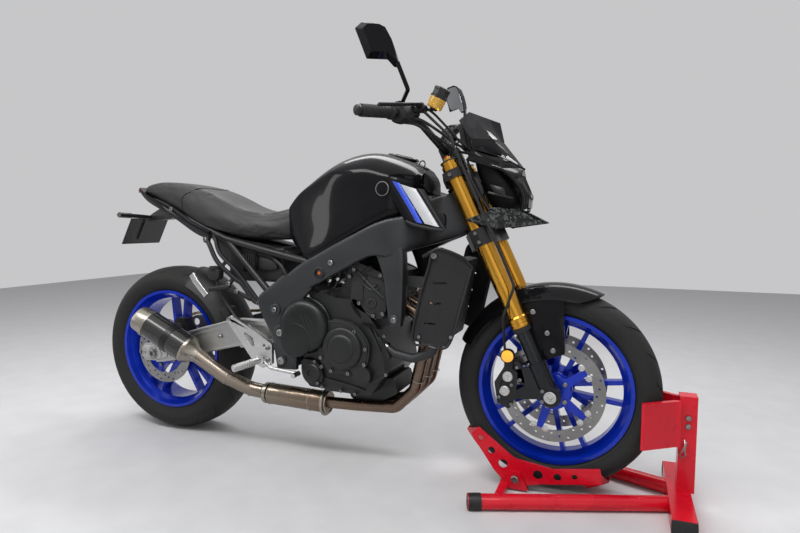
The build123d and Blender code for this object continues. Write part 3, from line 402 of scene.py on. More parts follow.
gloss_black = finish("gloss_black", (0.004, 0.004, 0.005), (0.006, 0.006, 0.007), (0.14, 0.20), coat=0.24,
    grain=260, depth=0.02, specular=0.06)
cavity_black = finish("cavity_black", (0.003, 0.003, 0.003), (0.005, 0.005, 0.005), (0.5, 0.65), grain=900,
    depth=0.1, specular=0.15)
satin_black = finish("satin_black", (0.008, 0.008, 0.009), (0.013, 0.013, 0.014), (0.30, 0.42), grain=1500,
    depth=0.10, specular=0.35)
plastic_black = finish("plastic_black", (0.010, 0.010, 0.011), (0.016, 0.016, 0.017), (0.44, 0.56), grain=1300,
    depth=0.22, specular=0.35)
rubber_black = finish("rubber_black", (0.013, 0.013, 0.013), (0.022, 0.021, 0.020), (0.60, 0.78), grain=1100,
    depth=0.25, specular=0.35)
frame_grey = finish("frame_grey", (0.036, 0.038, 0.040), (0.046, 0.048, 0.050), (0.32, 0.40), metal=0.6,
    grain=1500, depth=0.20)
engine_dark = finish("engine_dark", (0.014, 0.0145, 0.015), (0.022, 0.0225, 0.023), (0.36, 0.48), metal=0.35,
    grain=1200, depth=0.30)
cover_dark = finish("cover_dark", (0.012, 0.014, 0.014), (0.020, 0.022, 0.021), (0.28, 0.38), metal=0.45,
    grain=1600, depth=0.14)
gold_tube = finish("gold_tube", (0.52, 0.25, 0.03), (0.60, 0.31, 0.045), (0.16, 0.26), metal=1.0, grain=420,
    depth=0.04, stretch=(1, 1, 7))
fork_dark = finish("fork_dark", (0.020, 0.021, 0.024), (0.030, 0.031, 0.034), (0.16, 0.24), metal=0.8,
    grain=500, depth=0.04)
wheel_blue = finish("wheel_blue", (0.002, 0.022, 0.36), (0.003, 0.030, 0.46), (0.20, 0.27), metal=0.3,
    coat=0.35, grain=2600, depth=0.03, specular=0.25)
swing_metal = finish("swing_metal", (0.37, 0.37, 0.37), (0.45, 0.45, 0.44), (0.34, 0.46), metal=0.95, grain=700,
    depth=0.09, stretch=(0.12, 1, 1))
bright_metal = finish("bright_metal", (0.52, 0.52, 0.51), (0.60, 0.60, 0.59), (0.20, 0.30), metal=1.0,
    grain=600, depth=0.06)
bolt_steel = finish("bolt_steel", (0.22, 0.22, 0.22), (0.32, 0.315, 0.31), (0.24, 0.36), metal=1.0, grain=900,
    depth=0.05)
disc_steel = finish("disc_steel", (0.21, 0.205, 0.20), (0.30, 0.295, 0.29), (0.24, 0.34), metal=1.0, grain=1400,
    depth=0.10)
stand_red = finish("stand_red", (0.58, 0.003, 0.016), (0.66, 0.005, 0.020), (0.24, 0.32), coat=0.3, grain=420,
    depth=0.08, specular=0.2)
seat_cover = finish("seat_cover", (0.013, 0.013, 0.014), (0.019, 0.019, 0.020), (0.50, 0.62), grain=950,
    depth=0.45)
chain_steel = finish("chain_steel", (0.12, 0.11, 0.10), (0.20, 0.18, 0.15), (0.30, 0.45), metal=0.9, grain=700,
    depth=0.10)
core_grey = finish("core_grey", (0.030, 0.031, 0.032), (0.045, 0.046, 0.047), (0.45, 0.6), metal=0.5, grain=900,
    depth=0.2)
orange_metal = finish("orange_metal", (0.62, 0.13, 0.015), (0.72, 0.18, 0.02), (0.22, 0.32), metal=0.8,
    grain=900, depth=0.03)
plate_black = finish("plate_black", (0.02, 0.02, 0.021), (0.03, 0.03, 0.031), (0.30, 0.40), grain=700,
    depth=0.06)
silver_paint = finish("silver_paint", (0.62, 0.63, 0.65), (0.70, 0.71, 0.73), (0.24, 0.30), metal=0.4, coat=1.0,
    grain=2400, depth=0.03)
stripe_blue = finish("stripe_blue", (0.010, 0.055, 0.60), (0.012, 0.075, 0.70), (0.20, 0.26), metal=0.2,
    coat=1.0, grain=2400, depth=0.03)
print(len(bpy.data.materials), "finishes")

# %% [markdown]
# Titanium pipes turn straw, brown and blue where the exhaust is hottest, near the cylinder head. The tint here
# follows the pipe's own length: it reads the object's X coordinate, from the ports at the front to the
# silencer. Clear plastics need light to pass, so the screen, lamps and reservoir take a transmissive shader
# instead.

# %% Titanium, clear and glowing finishes
def titanium_finish(name, hot_x, cool_x):
    """Metal whose colour ramp runs along X from the hot end to the cool end, with the shared grain."""
    material = finish(name, (0.4, 0.36, 0.32), rough=(0.22, 0.36), metal=1.0, grain=500, depth=0.08,
        stretch=(0.25, 1, 1))
    tree, shader, group = parts_of(material)
    split = tree.nodes.new("ShaderNodeSeparateXYZ")
    tree.links.new(object_coordinates(tree), split.inputs["Vector"])
    along = ranged(tree, split.outputs["X"], hot_x, cool_x, 0.0, 1.0)
    ramp = tree.nodes.new("ShaderNodeValToRGB")
    tones = [(0.0, (0.09, 0.05, 0.035)), (0.30, (0.15, 0.085, 0.055)), (0.50, (0.20, 0.14, 0.10)),
        (0.72, (0.26, 0.225, 0.18)), (1.0, (0.34, 0.31, 0.27))]
    ramp.color_ramp.elements.remove(ramp.color_ramp.elements[1])
    ramp.color_ramp.elements[0].color = (*tones[0][1], 1)
    for position, tone in tones[1:]:
        ramp.color_ramp.elements.new(position).color = (*tone, 1)
    tree.links.new(along, ramp.inputs["Fac"])
    blotch = mixed(tree, group.outputs["Height"], ramp.outputs["Color"], (0.22, 0.17, 0.13, 1))
    tree.links.new(blotch, shader.inputs["Base Color"])
    return material


def clear_finish(name, colour, second, rough, transmission):
    """See-through plastic: the shared drift tints it, the transmission is a plain number."""
    material = finish(name, colour, second, rough, grain=300, depth=0.01)
    set_inputs(parts_of(material)[1], {"Transmission Weight": transmission, "IOR": 1.45})
    return material


def glowing_finish(name, colour, strength):
    """Reflex plastic: small prisms as a fine bump, and emission of its own colour, on a reflector a painted glow.
    """
    material = finish(name, colour, tuple(0.8 * c for c in colour), (0.12, 0.2), coat=1.0, grain=420, depth=0.3)
    tree, shader, group = parts_of(material)
    tree.links.new(group.outputs["Colour"], shader.inputs["Emission Color"])
    shader.inputs["Emission Strength"].default_value = strength
    return material


hot_end, cool_end = place([[1040, 0, 0], [300, 0, 0]])[:, 0]
titanium = titanium_finish("titanium", hot_end, cool_end)
smoked = clear_finish("smoked", (0.022, 0.023, 0.028), (0.03, 0.031, 0.038), (0.03, 0.06), 0.8)
lens_clear = clear_finish("lens_clear", (0.85, 0.88, 0.9), (0.9, 0.92, 0.94), (0.03, 0.06), 0.9)
fluid_amber = clear_finish("fluid_amber", (0.75, 0.42, 0.05), (0.8, 0.5, 0.1), (0.08, 0.14), 0.5)
smoked_amber = clear_finish("smoked_amber", (0.25, 0.09, 0.02), (0.3, 0.11, 0.03), (0.08, 0.14), 0.5)
# Painted glow: the amber reflector is no lamp, and its emission stands for the light it throws back.
amber_reflex_painted_glow = glowing_finish("amber_reflex_painted_glow", (0.95, 0.38, 0.02), 0.85)
tail_red = glowing_finish("tail_red", (0.35, 0.005, 0.005), 0.05)
mirror_glass = finish("mirror_glass", (0.26, 0.27, 0.28), (0.30, 0.31, 0.32), (0.02, 0.04), metal=1.0,
    grain=200, depth=0.0)
print("titanium from x", hot_end.round(3), "to", cool_end.round(3))

# %% [markdown]
# ## Finishes on the CAD nodes
# Nodes whose solid is already the right shape stay as they are and only take a finish. Later cells replace the
# nodes whose curves a smooth shell shows better.

# %% Dress the nodes
def dress(material, node_names):
    """One finish on CAD nodes, named in one string."""
    for node_name in node_names.split():
        materials = nodes[node_name].data.materials
        materials.clear()
        materials.append(material)


node_finish = [
    (stand_red, "stand_base stand_rocker stand_post"),
    (gold_tube, "fork_tubes"),
    (fork_dark, "fork_legs"),
    (satin_black, "yokes handlebar front_calipers reflectors subframe"),
    (satin_black, "rear_shock pillion_footrests rear_caliper side_stand"),
    (bright_metal, "front_axle rear_axle rider_footrests"),
    (plastic_black, "bar_controls dash tail_cowl radiator_covers hugger battery_box"),
    (gloss_black, "mirrors headlight_cowl front_fender fuel_tank air_ducts silencer"),
    (lens_clear, "headlight_lens"),
    (smoked, "fly_screen"),
    (rubber_black, "brake_hoses front_tyre rear_tyre"),
    (frame_grey, "main_frame"),
    (seat_cover, "seat"),
    (tail_red, "tail_lamp"),
    (plate_black, "plate_holder"),
    (engine_dark, "engine_block"),
    (cover_dark, "engine_covers"),
    (core_grey, "radiator"),
    (titanium, "exhaust"),
    (swing_metal, "swingarm"),
    (chain_steel, "chain rear_sprocket"),
    (wheel_blue, "front_rim rear_rim"),
    (disc_steel, "front_discs rear_disc")]
for material, node_names in node_finish:
    dress(material, node_names)
print("finishes on", sum(len(names.split()) for _, names in node_finish), "nodes")

# %% [markdown]
# ## Soft sections
# Castings, mouldings and shells have no sharp corners. A superellipse is a circle pushed toward a square, a
# rounded outline is a closed curve through two points on every edge, and a loop across the machine is half a
# profile and its mirror image. A bevel would round all edges of a box alike, so these sections are written as
# formulas instead.

# %% Superellipses
def soft_box(u0, u1, v0, v1, power=5.0, count=40):
    """Superellipse in a box: cosine and sine raised to two over the power, keeping their signs."""
    a = np.linspace(0, 2 * math.pi, count, endpoint=False)
    c, s = np.cos(a), np.sin(a)
    u = (u0 + u1) / 2 + (u1 - u0) / 2 * np.sign(c) * np.abs(c) ** (2 / power)
    v = (v0 + v1) / 2 + (v1 - v0) / 2 * np.sign(s) * np.abs(s) ** (2 / power)
    return np.stack([u, v], -1)


def cast_along_x(stations, rows):
    """Loft of superellipses across X from (x, low, top, inner, outer) with the outer side toward -Y."""
    rings = []
    for x, low, top, inner, outer in stations:
        box = soft_box(-outer, -inner, low, top)
        rings.append(np.column_stack([np.full(len(box), x), box[:, 0], box[:, 1]]))
    return loft(rings, rows, 40)


def cast_along_z(stations, rows, power=5.0, count=40):
    """Loft of superellipses up Z from (z, rear, front, inner, outer) with the outer side toward -Y."""
    rings = []
    for z, rear, front, inner, outer in stations:
        box = soft_box(rear, front, -outer, -inner, power, count)
        rings.append(np.column_stack([box[:, 0], box[:, 1], np.full(len(box), z)]))
    return loft(rings, rows, count)


def across(x, half):
    """Closed loop across the machine at one X: half a profile of (y, z) from the top, then its mirror image."""
    return [(x, y, z) for y, z in half + [(-y, z) for y, z in half[-2:0:-1]]]


print("superellipse of", len(soft_box(0, 1, 0, 1)), "points")


# %% Rounded slabs
def rounded(points, share=0.22, count=96):
    """Outline with soft corners: two points on every edge, then a closed Catmull-Rom curve through them all."""
    points = np.asarray(points, float)
    edge = np.roll(points, -1, axis=0) - points
    return curve(np.stack([points + share * edge, points + (1 - share) * edge], 1).reshape(-1, 2), count, True)


def slab(points, y0, y1, soft=3.0, share=0.22, count=96):
    """Closed casting: an outline in X and Z between two Y values, its far edge drawn in by a soft radius."""
    outline = rounded(points, share, count)
    middle = outline.mean(0)
    size = np.abs(outline - middle).mean() * 1.3
    side = np.sign(y1 - y0)
    rows = [(0.0, y0), (1.0, y0), (1.0, y1 - side * soft), (1 - 0.3 * soft / size, y1 - side * 0.3 * soft),
        (1 - soft / size, y1), (0.0, y1)]
    rings = [middle + k * (outline - middle) for k, _ in rows]
    grid = np.stack([np.column_stack([r[:, 0], np.full(count, y), r[:, 1]]) for r, (_, y) in zip(rings, rows)])
    return patch(grid, wrap_v=True)


print("slab of", len(slab([(0, 0), (1, 0), (1, 1)], 0, 1)[1]), "faces")

# %% [markdown]
# ## Tank
# The tank of a street machine is a pressed shell: a rounded top, a soft shoulder and flanks that pull in where
# the rider's knees go. It could be sculpted from a cube, but a loft through measured stations keeps every
# height and width as a number. Each station lists the top, the shoulder, the foot and three half widths.

# %% Tank shell
def tank_ring(x, top, shoulder, low, top_half, mid_half, low_half):
    """Closed loop across the tank: half a profile from the top centre to the foot, then its mirror image."""
    half = [(0, top), (top_half * 0.55, top - 2), (top_half, top - 10),
        ((top_half + mid_half) / 2 + 8, (top + shoulder) / 2 + 2), (mid_half, shoulder),
        (mid_half * 0.5 + low_half * 0.5 + 1, (shoulder + low) / 2 + 10), (low_half, low + 26),
        (low_half * 0.9, low + 4), (low_half * 0.5, low), (0, low)]
    return across(x, half)


tank_stations = [(536, 850, 836, 752, 44, 64, 60), (548, 868, 842, 742, 60, 84, 82),
    (590, 912, 878, 704, 66, 98, 106), (640, 950, 902, 672, 70, 112, 128), (690, 982, 926, 690, 77, 126, 143),
    (740, 1006, 946, 712, 84, 140, 156), (795, 1022, 954, 740, 90, 152, 166),
    (850, 1028, 956, 768, 92, 162, 172), (900, 1022, 948, 790, 90, 167, 170),
    (950, 1008, 936, 808, 84, 168, 164), (1000, 986, 920, 820, 70, 142, 132),
    (1024, 970, 912, 826, 56, 112, 98)]
piece("tank_shell", [loft([tank_ring(*s) for s in tank_stations], 90, 96)], gloss_black, "fuel_tank",
    replaces=True)

# %% [markdown]
# On top sits the filler cap, a turned ring with a lock, and behind the fork a small loop that guides the
# cables. Turned parts are the easiest surfaces of all: a profile of a few points carried round an axis.

# %% Filler cap
cap_at, cap_axis = (930, 0, 1011), (0.24, 0, 0.97)
piece("filler_cap", [turned([(0, 52), (5, 52), (7, 49), (7, 40), (4, 38), (4, 0)], cap_at, cap_axis, 56),
    turned([(4, 33), (9, 31), (10, 26), (10, 0)], cap_at, cap_axis, 48)], satin_black, "fuel_tank")
sixths = np.arange(6) * math.pi / 3
cap_circle = np.stack([np.cos(sixths), np.sin(sixths), -0.24 * np.cos(sixths)], -1)
cap_bolts = np.array(cap_at) + 45 * cap_circle + [1, 0, 6]
piece("cap_screws", studs(cap_bolts, 4, 3, cap_axis), bolt_steel, "fuel_tank")

# %% [markdown]
# ## Intake panels
# Each flank carries a slanted panel that feeds air past the tank. It is painted with a blue and a silver band
# that run down toward the fork. Thin shells with a shared slope make the bands as true pieces, so the colour
# edges stay sharp in every view.

# %% Intake panel
def slant_band(low_edge, high_edge, y_low, y_high, thick):
    """Slab between two edge lines given in X and Z, bowed outwards between an inner and an outer Y."""
    a, b = curve(low_edge, 18), curve(high_edge, 18)
    t = np.linspace(0, 1, 9)[None, :, None]
    plan = a[:, None] * (1 - t) + b[:, None] * t
    along = np.linspace(0, 1, 18)[:, None]
    y = y_low + (y_high - y_low) * along - 3.0 * np.sin(np.pi * t[..., 0])
    outer = np.stack([plan[..., 0], y, plan[..., 1]], -1)
    inner = outer + np.array([0, thick, 0.0])
    return sealed(np.concatenate([outer, inner[:, ::-1]], axis=1))


blue_left, blue_right = [(960, 927), (1000, 866), (1039, 804)], [(983, 920), (1021, 861), (1058, 800)]
white_left, white_right = [(986, 917), (1026, 859), (1065, 800)], [(1034, 902), (1051, 878), (1109, 790)]
edge_left, edge_right = [(1037, 903), (1054, 879), (1113, 789)], [(1050, 902), (1068, 876), (1126, 786)]
pair("intake_flank", [slant_band([(928, 938), (958, 872), (1000, 812)], [(957, 928), (997, 867), (1036, 805)],
    -168, -174, 10)], gloss_black, "air_ducts", replaces=True)
pair("intake_blue", [slant_band(blue_left, blue_right, -174, -178, 8)], stripe_blue, "air_ducts")
pair("intake_silver", [slant_band(white_left, white_right, -173, -177, 8)], silver_paint, "air_ducts")
pair("intake_edge", [slant_band(edge_left, edge_right, -168, -172, 22),
    hose([(1006, -172, 806), (1040, -176, 794), (1090, -175, 784), (1120, -171, 781)], 6, 40, 10)],
    plastic_black, "air_ducts")
ring_at, ring_axis = (928, -172.5, 904), (-0.03, -1, 0.02)
pair("flank_rings", [turned([(-4, 22.5), (2.4, 22.5), (3.4, 21.5), (3.4, 20), (2, 19)], ring_at, ring_axis,
    48)], bolt_steel, "air_ducts")
pair("flank_discs", [turned([(-4, 19.6), (1.6, 19.4), (2.6, 16), (3.2, 8), (3.4, 0)], ring_at, ring_axis, 48)],
    gloss_black, "air_ducts")
head_cover = [cast_along_x([(984, 906, 978, -66, 66), (1004, 900, 976, -70, 70), (1022, 892, 964, -64, 64),
    (1036, 890, 950, -54, 54), (1045, 892, 934, -42, 42)], 24)]
head_cover += [hose([(1004, -68, 936), (1022, -66, 918), (1038, -54, 898)], 5, 24, 10),
    hose([(1010, -58, 966), (1030, -52, 950), (1043, -42, 922)], 4, 24, 10)]
piece("head_cover", head_cover, plastic_black, "fuel_tank")
piece("cable_ring", [turned([(0, 14), (2.6, 11.6), (0, 9.2), (-2.6, 11.6), (0, 14)], (998, -8, 990),
    (0.35, 0.94, 0), 36)], satin_black, "fuel_tank")

# %% [markdown]
# ## Frame
# The frame is a hollow aluminium casting: two spars sweep from the steering head round the engine and drop to
# the swingarm pivot, with a leg in front that holds the engine. A box with bevels would look welded.
# Superellipses, circles pushed toward squares, give the soft casting corners, and a loft carries them along the
# spar.

# %% Frame casting
spar = cast_along_x([(586, 552, 630, 152, 172), (640, 572, 668, 150, 179), (700, 603, 699, 150, 182),
    (780, 645, 740, 152, 187), (850, 682, 774, 153, 191), (900, 700, 798, 152, 192), (950, 700, 815, 146, 190),
    (1000, 716, 827, 120, 172), (1040, 728, 860, 70, 126), (1060, 735, 876, 44, 98), (1085, 744, 886, 24, 76),
    (1120, 757, 896, 8, 62), (1162, 775, 874, 4, 46)], 80)
pivot_plate = cast_along_z([(318, 548, 622, 151, 175), (380, 538, 625, 150, 177), (430, 526, 627, 150, 178),
    (476, 500, 629, 150, 178), (520, 479, 636, 150, 178), (556, 480, 652, 150, 178), (590, 524, 682, 151, 178),
    (628, 572, 690, 152, 176)], 50)
front_leg = cast_along_z([(488, 952, 990, 140, 176), (520, 946, 994, 138, 178), (580, 938, 998, 136, 180),
    (640, 930, 1000, 134, 182), (700, 908, 1000, 134, 182), (740, 884, 992, 136, 180),
    (770, 868, 966, 140, 180)], 44)
head_top, head_low = fork([-29.0, 0.0, 684.0]), fork([-29.0, 0.0, 532.0])
head_axis = head_top - head_low
head_length = np.linalg.norm(head_axis)
head_tube = turned([(0, 18), (0, 34), (10, 34), (14, 31), (head_length - 14, 31), (head_length - 10, 34),
    (head_length, 34), (head_length, 18), (0, 18)], head_low, head_axis, 40)
bosses = [outward([(0, 0), (0, 26), (9, 26), (11, 23), (11, 15), (6, 14), (6, 0)], (570, -175, 440), 36),
    outward([(0, 0), (0, 19), (6, 19), (8, 16), (8, 10), (3, 9), (3, 0)], (549, -176, 515), 32),
    outward([(0, 0), (0, 16), (6, 16), (8, 13), (8, 0)], (572, -176, 346), 28),
    outward([(0, 0), (0, 15), (5, 15), (7, 12), (7, 0)], (971, -177, 508), 28)]
ties = [carried([(520, -154, 575), (520, 154, 575)], circle(15, 24)),
    carried([(592, -154, 345), (592, 154, 345)], circle(13, 24))]
prop_axis = np.array([0, math.cos(math.radians(22)), math.sin(math.radians(22))])
prop_at = np.array([596, 176, 292.0])
prop_boss = [turned([(-26, 0), (-26, 15), (0, 15), (0, 7), (27, 7), (27, 0)], prop_at, prop_axis, 28),
    turned([(22, 7.5), (22, 11), (27, 11), (27, 0)], prop_at, prop_axis, 6),
    cast_along_z([(270, 584, 608, -166, -152), (300, 572, 620, -166, -152), (344, 556, 630, -166, -152)], 10)]
castings = [spar, pivot_plate, front_leg] + bosses
piece("frame_casting", both(castings) + [head_tube] + ties + prop_boss, frame_grey, "main_frame", replaces=True,
    smooth=50)

# %% [markdown]
# A plug with an orange insert sits in the spar where an engine bolt passes, and bright cap screws close the
# lower mountings. Small bright points like these are what the eye uses to judge the scale of the castings
# around them.

# %% Frame screws
plug_at, plug_axis = (716, -184, 642), (0, -1, 0.12)
pair("spar_plug", [turned([(-2, 19), (3, 19), (4, 17), (4, 14), (-6, 13)], plug_at, plug_axis, 36)],
    satin_black, "main_frame")
pair("spar_insert", [turned([(-5, 13.5), (-5, 0)], plug_at, plug_axis, 30),
    turned([(-5, 6), (0, 5), (0, 0)], plug_at, plug_axis, 12)], orange_metal, "main_frame")
frame_screws = studs([(760, -188, 676), (549, -184, 515), (971, -184, 508)], 9, 6)
frame_screws += studs([(570, -186, 440), (572, -184, 346)], 12, 6)
pair("head_pads", [slab([(1074, 824), (1098, 832), (1100, 790), (1078, 783)], -56, -88, 4)], plastic_black,
    "main_frame")
pair("frame_screws", frame_screws, bolt_steel, "main_frame")

# %% [markdown]
# ## Seat
# The seat is foam under a stretched vinyl cover: crowned where the rider sits, stepped up for the passenger and
# pulled tight at its lower edge. A hard loft gives the size; then a short cloth simulation with a little air
# pressure lets the cover swell and relax between its edges, which no formula does as well. How far a point may
# move is capped, so that the seat keeps the measured shape. A welt is laid along the seam between the two pads,
# at points where straight lines meet the finished cover.

# %% Seat foam
def seat_ring(x, top, low, top_half, low_half, inset=3.0):
    """Closed loop across the seat: crowned top, rounded shoulders, sides that pull in toward the base."""
    half = [(0, top + 2 - inset), (top_half * 0.55, top - inset), (top_half * 0.92, top - 9 - inset),
        ((top_half + low_half) / 2 + 1 - inset, top - 30 - inset), (low_half - inset, (top + low) / 2 - 6),
        (low_half * 0.95 - inset, low + 10 + inset), (low_half * 0.8, low + inset), (0, low + inset)]
    return across(x, half)


seat_stations = [(580, 888, 800, 40, 46), (570, 880, 756, 56, 64), (545, 860, 746, 72, 80),
    (520, 846, 744, 86, 94), (480, 836, 744, 102, 110), (440, 834, 745, 113, 123), (385, 842, 748, 120, 131),
    (330, 858, 754, 124, 136), (262, 888, 766, 122, 134), (200, 913, 784, 117, 129), (145, 928, 808, 111, 121),
    (90, 938, 836, 105, 112), (25, 945, 862, 95, 100), (-40, 948, 886, 83, 88), (-95, 945, 902, 66, 70),
    (-126, 938, 912, 50, 53), (-134, 930, 918, 34, 36)]
seat_foam = piece("seat_foam", [loft([seat_ring(*s) for s in seat_stations], 150, 72)], seat_cover, "seat",
    replaces=True)


def relaxed_cover(obj, voxel, pressure, most):
    """Voxel remesh, 20 steps of cloth with pressure and no gravity, then each point's move cut to the cap."""
    remesh = obj.modifiers.new("remesh", "REMESH")
    remesh.mode, remesh.voxel_size = "VOXEL", voxel
    bpy.context.view_layer.objects.active = obj
    bpy.ops.object.modifier_apply(modifier="remesh")
    count = len(obj.data.vertices)
    before = np.empty(count * 3)
    obj.data.vertices.foreach_get("co", before)
    cloth = obj.modifiers.new("cover", "CLOTH")
    cloth.settings.use_pressure = True
    cloth.settings.uniform_pressure_force = pressure
    cloth.settings.effector_weights.gravity = 0.0
    cloth.settings.tension_stiffness = 40.0
    cloth.settings.compression_stiffness = 40.0
    for step in range(1, 21):
        bpy.context.scene.frame_set(step)
    moved = np.empty(count * 3)
    held = obj.evaluated_get(bpy.context.evaluated_depsgraph_get()).to_mesh()
    held.vertices.foreach_get("co", moved)
    obj.modifiers.remove(cloth)
    bpy.context.scene.frame_set(1)
    step = (moved - before).reshape(-1, 3)
    length = np.linalg.norm(step, axis=1, keepdims=True)
    kept = before.reshape(-1, 3) + step * np.minimum(1.0, most / np.maximum(length, 1e-9))
    obj.data.vertices.foreach_set("co", kept.ravel())
    print("cover moved at most", round(float(length.max()) * 1000, 1), "mm, capped at", most * 1000)


def surface_hits(obj, starts, aim):
    """Where straight lines from the start points meet the mesh, in workshop millimetres; misses are dropped."""
    skin = BVHTree.FromObject(obj, bpy.context.evaluated_depsgraph_get())
    hits = [skin.ray_cast(Vector(place(p)), Vector(aim))[0] for p in starts]
    return np.array([unplace(h) for h in hits if h is not None])


relaxed_cover(seat_foam, 0.005, 3.0, 0.006)
seat_foam.data.shade_smooth()
soft = seat_foam.modifiers.new("soft", "SUBSURF")
soft.levels = soft.render_levels = 1
side_seam = curve([(101, -300, 846), (107, -300, 869), (112, -300, 886), (124, -300, 900), (146, -300, 909)],
    16)
top_seam = [(158 + 34 * (1 - (y / 92) ** 2), y, 1100) for y in np.linspace(-92, 92, 23)]
right_seam = surface_hits(seat_foam, side_seam, to_left)
welt = np.concatenate([right_seam, surface_hits(seat_foam, top_seam, (0, 0, -1)),
    right_seam[::-1] * [1, -1, 1]])
piece("seat_welt", [hose(welt, 2.4, 120, 8)], rubber_black, "seat")

# %% [markdown]
# ## Thin shields
# Screens, blades and lamp surrounds are thin moulded sheets. Each is a bent quad: four corners, a bulge in the
# middle and a wall thickness. Writing it once as a function of two parameters makes every facet below one line.

# %% Shields
def shield(a, b, c, d, thick, bulge=0.0, out=to_right, count=14):
    """Bilinear sheet a-b-c-d bowed along a direction by sine times sine, closed by a second skin behind."""
    u, v = np.meshgrid(np.linspace(0, 1, count), np.linspace(0, 1, count), indexing="ij")
    corner = [np.asarray(p, float) for p in (a, b, c, d)]
    weights = [(1 - u) * (1 - v), u * (1 - v), u * v, (1 - u) * v]
    face = sum(w[..., None] * p for w, p in zip(weights, corner))
    out = unit(out)
    face = face + (bulge * np.sin(math.pi * u) * np.sin(math.pi * v))[..., None] * out
    back = face - thick * out
    return sealed(np.concatenate([face, back[:, ::-1]], axis=1))


def on_fork(patches):
    """The same patches, their points read as fork coordinates."""
    return [(fork(p[0]), p[1], p[2]) for p in patches]


print("shield of", len(shield((0, 0, 0), (1, 0, 0), (1, 0, 1), (0, 0, 1), 1)[1]), "faces")


# %% [markdown]
# ## Lamp mask
# The mask is layered: a smoked visor on top, a glossy brow that runs down to a beak, a dark flank and a bright
# edge round the lamp. A dark core gives the volume; the layers stand a few millimetres proud of it, so that
# every edge draws its own highlight.

# %% Visor
def visor(foot_line, top_line, knots, thick):
    """Plate ruled between a foot and a top line, each straight between points further from the middle."""
    u = np.linspace(-1, 1, 41)
    lines = [np.stack([np.interp(np.abs(u), knots, np.array(line)[:, k]) * (np.sign(u) if k == 1 else 1)
        for k in range(3)], -1) for line in (foot_line, top_line)]
    v = np.linspace(0, 1, 9)[None, :, None]
    outer = lines[0][:, None] * (1 - v) + lines[1][:, None] * v
    inner = outer - thick * np.array([0.8, 0.0, 0.45])
    return sealed(np.concatenate([outer, inner[:, ::-1]], axis=1))


screen_foot = [(160, 0, 743), (139, 48, 757), (89, 92, 780)]
screen_top = [(172, 0, 802), (109, 60, 863), (79, 92, 847)]
piece("visor", on_fork([visor(screen_foot, screen_top, (0, 0.55, 1), 4.0)]), smoked, "fly_screen",
    replaces=True, smooth=20)

# %% Mask layers
core_stations = [(536, 62, 128, -56, 56), (560, 52, 142, -74, 74), (610, 48, 144, -86, 86),
    (660, 52, 138, -92, 92), (700, 58, 126, -96, 96), (740, 70, 116, -94, 94), (768, 84, 112, -84, 84)]
side_out, top_out, front_out = (0.5, -0.85, 0.1), (0.7, -0.5, 0.5), (0.85, -0.5, 0.0)
brow = [shield((89, -101, 776), (141, -50, 757), (146, -50, 702), (81, -109, 749), 5, 2, top_out),
    shield((141, -50, 757), (157, 0, 748), (182, 0, 642), (146, -50, 702), 5, 2, top_out),
    shield((80, -110, 748), (138, -70, 694), (127, -97, 663), (57, -115, 728), 6, 5, side_out),
    shield((138, -70, 694), (146, -49, 704), (181, -8, 642), (127, -97, 663), 6, 3, side_out)]
cheek = [shield((127, -96, 664), (181, -8, 643), (170, -38, 620), (150, -79, 609), 6, 4, front_out),
    shield((150, -79, 610), (170, -38, 621), (168, -38, 556), (154, -71, 577), 6, 4, front_out),
    shield((154, -71, 578), (168, -38, 557), (148, -34, 526), (132, -68, 524), 6, 3, front_out),
    shield((172, -40, 622), (172, 0, 622), (180, 0, 644), (180, -10, 644), 6, 0, forward),
    shield((150, -38, 527), (150, 0, 524), (166, 0, 552), (167, -40, 557), 6, 0, forward)]
rim_line = [(56, -115, 727), (96, -109, 689), (127, -99, 661), (141, -92, 640), (151, -82, 608),
    (155, -75, 577), (148, -72, 548), (132, -71, 524)]
lower_edge = [(132, -71, 524), (110, -84, 532), (84, -98, 552), (56, -106, 566)]
rims = [hose(rim_line, 4.6, 70, 12, (1, 0, 0.2)), hose(lower_edge, 4.0, 40, 10, upward),
    hose([(56, -115, 727), (50, -113, 660), (52, -108, 600), (56, -106, 566)], 3.6, 40, 10, forward),
    hose([(80, -110, 749), (112, -92, 722), (140, -64, 694), (181, -8, 642)], 3.0, 50, 10, upward),
    hose([(64, -114, 740), (104, -100, 706), (132, -86, 678)], 2.6, 40, 8, upward)]
brackets = [slab([(22, 672), (62, 668), (62, 610), (26, 606)], -96, -112, 3)]
stay = [hose([(42, -113, 672), (47, -115, 615), (55, -115, 562)], 3.2, 30, 8, forward),
    hose([(70, -100, 612), (96, -98, 590), (126, -84, 566)], 4, 30, 8, forward),
    shield((84, -98, 632), (116, -92, 604), (112, -92, 580), (86, -98, 596), 3, 3, to_right)]
piece("mask_core", on_fork([cast_along_z(core_stations, 40, 3.0, 48)]), cavity_black, "headlight_cowl",
    replaces=True)
pair("mask_shell", on_fork(brow + cheek + rims), gloss_black, "headlight_cowl", smooth=28)
pair("mask_mounts", on_fork(brackets + stay), satin_black, "headlight_cowl")
piece("lamp_bezel", on_fork([turned([(0, 33), (6, 36), (8, 40), (0, 42), (-4, 38)], (160, 0, 586), forward,
    48)]), satin_black, "headlight_lens")
piece("lamp_projector", on_fork([turned([(-8, 26), (2, 20), (6, 10), (7, 0)], (152, 0, 586), forward, 36)]),
    bright_metal, "headlight_lens")
running_light = glowing_finish("running_light", (0.85, 0.88, 0.9), 0.15)
pair("running_lights", on_fork([shield((170, -16, 668), (160, -66, 690), (156, -70, 684), (172, -16, 660), 3, 1,
    (0.9, -0.3, 0))]), running_light, "headlight_lens")

# %% [markdown]
# ## Front mudguard
# The mudguard is one moulding: an arched blade that narrows to a nose, skirts that hide the fork's lower tubes
# and a cheek that runs down beside each leg. Its arch is a circle about the axle, so the surface is written in
# polar form: the angle runs round the wheel, the second parameter runs across, and the width shrinks toward the
# nose.

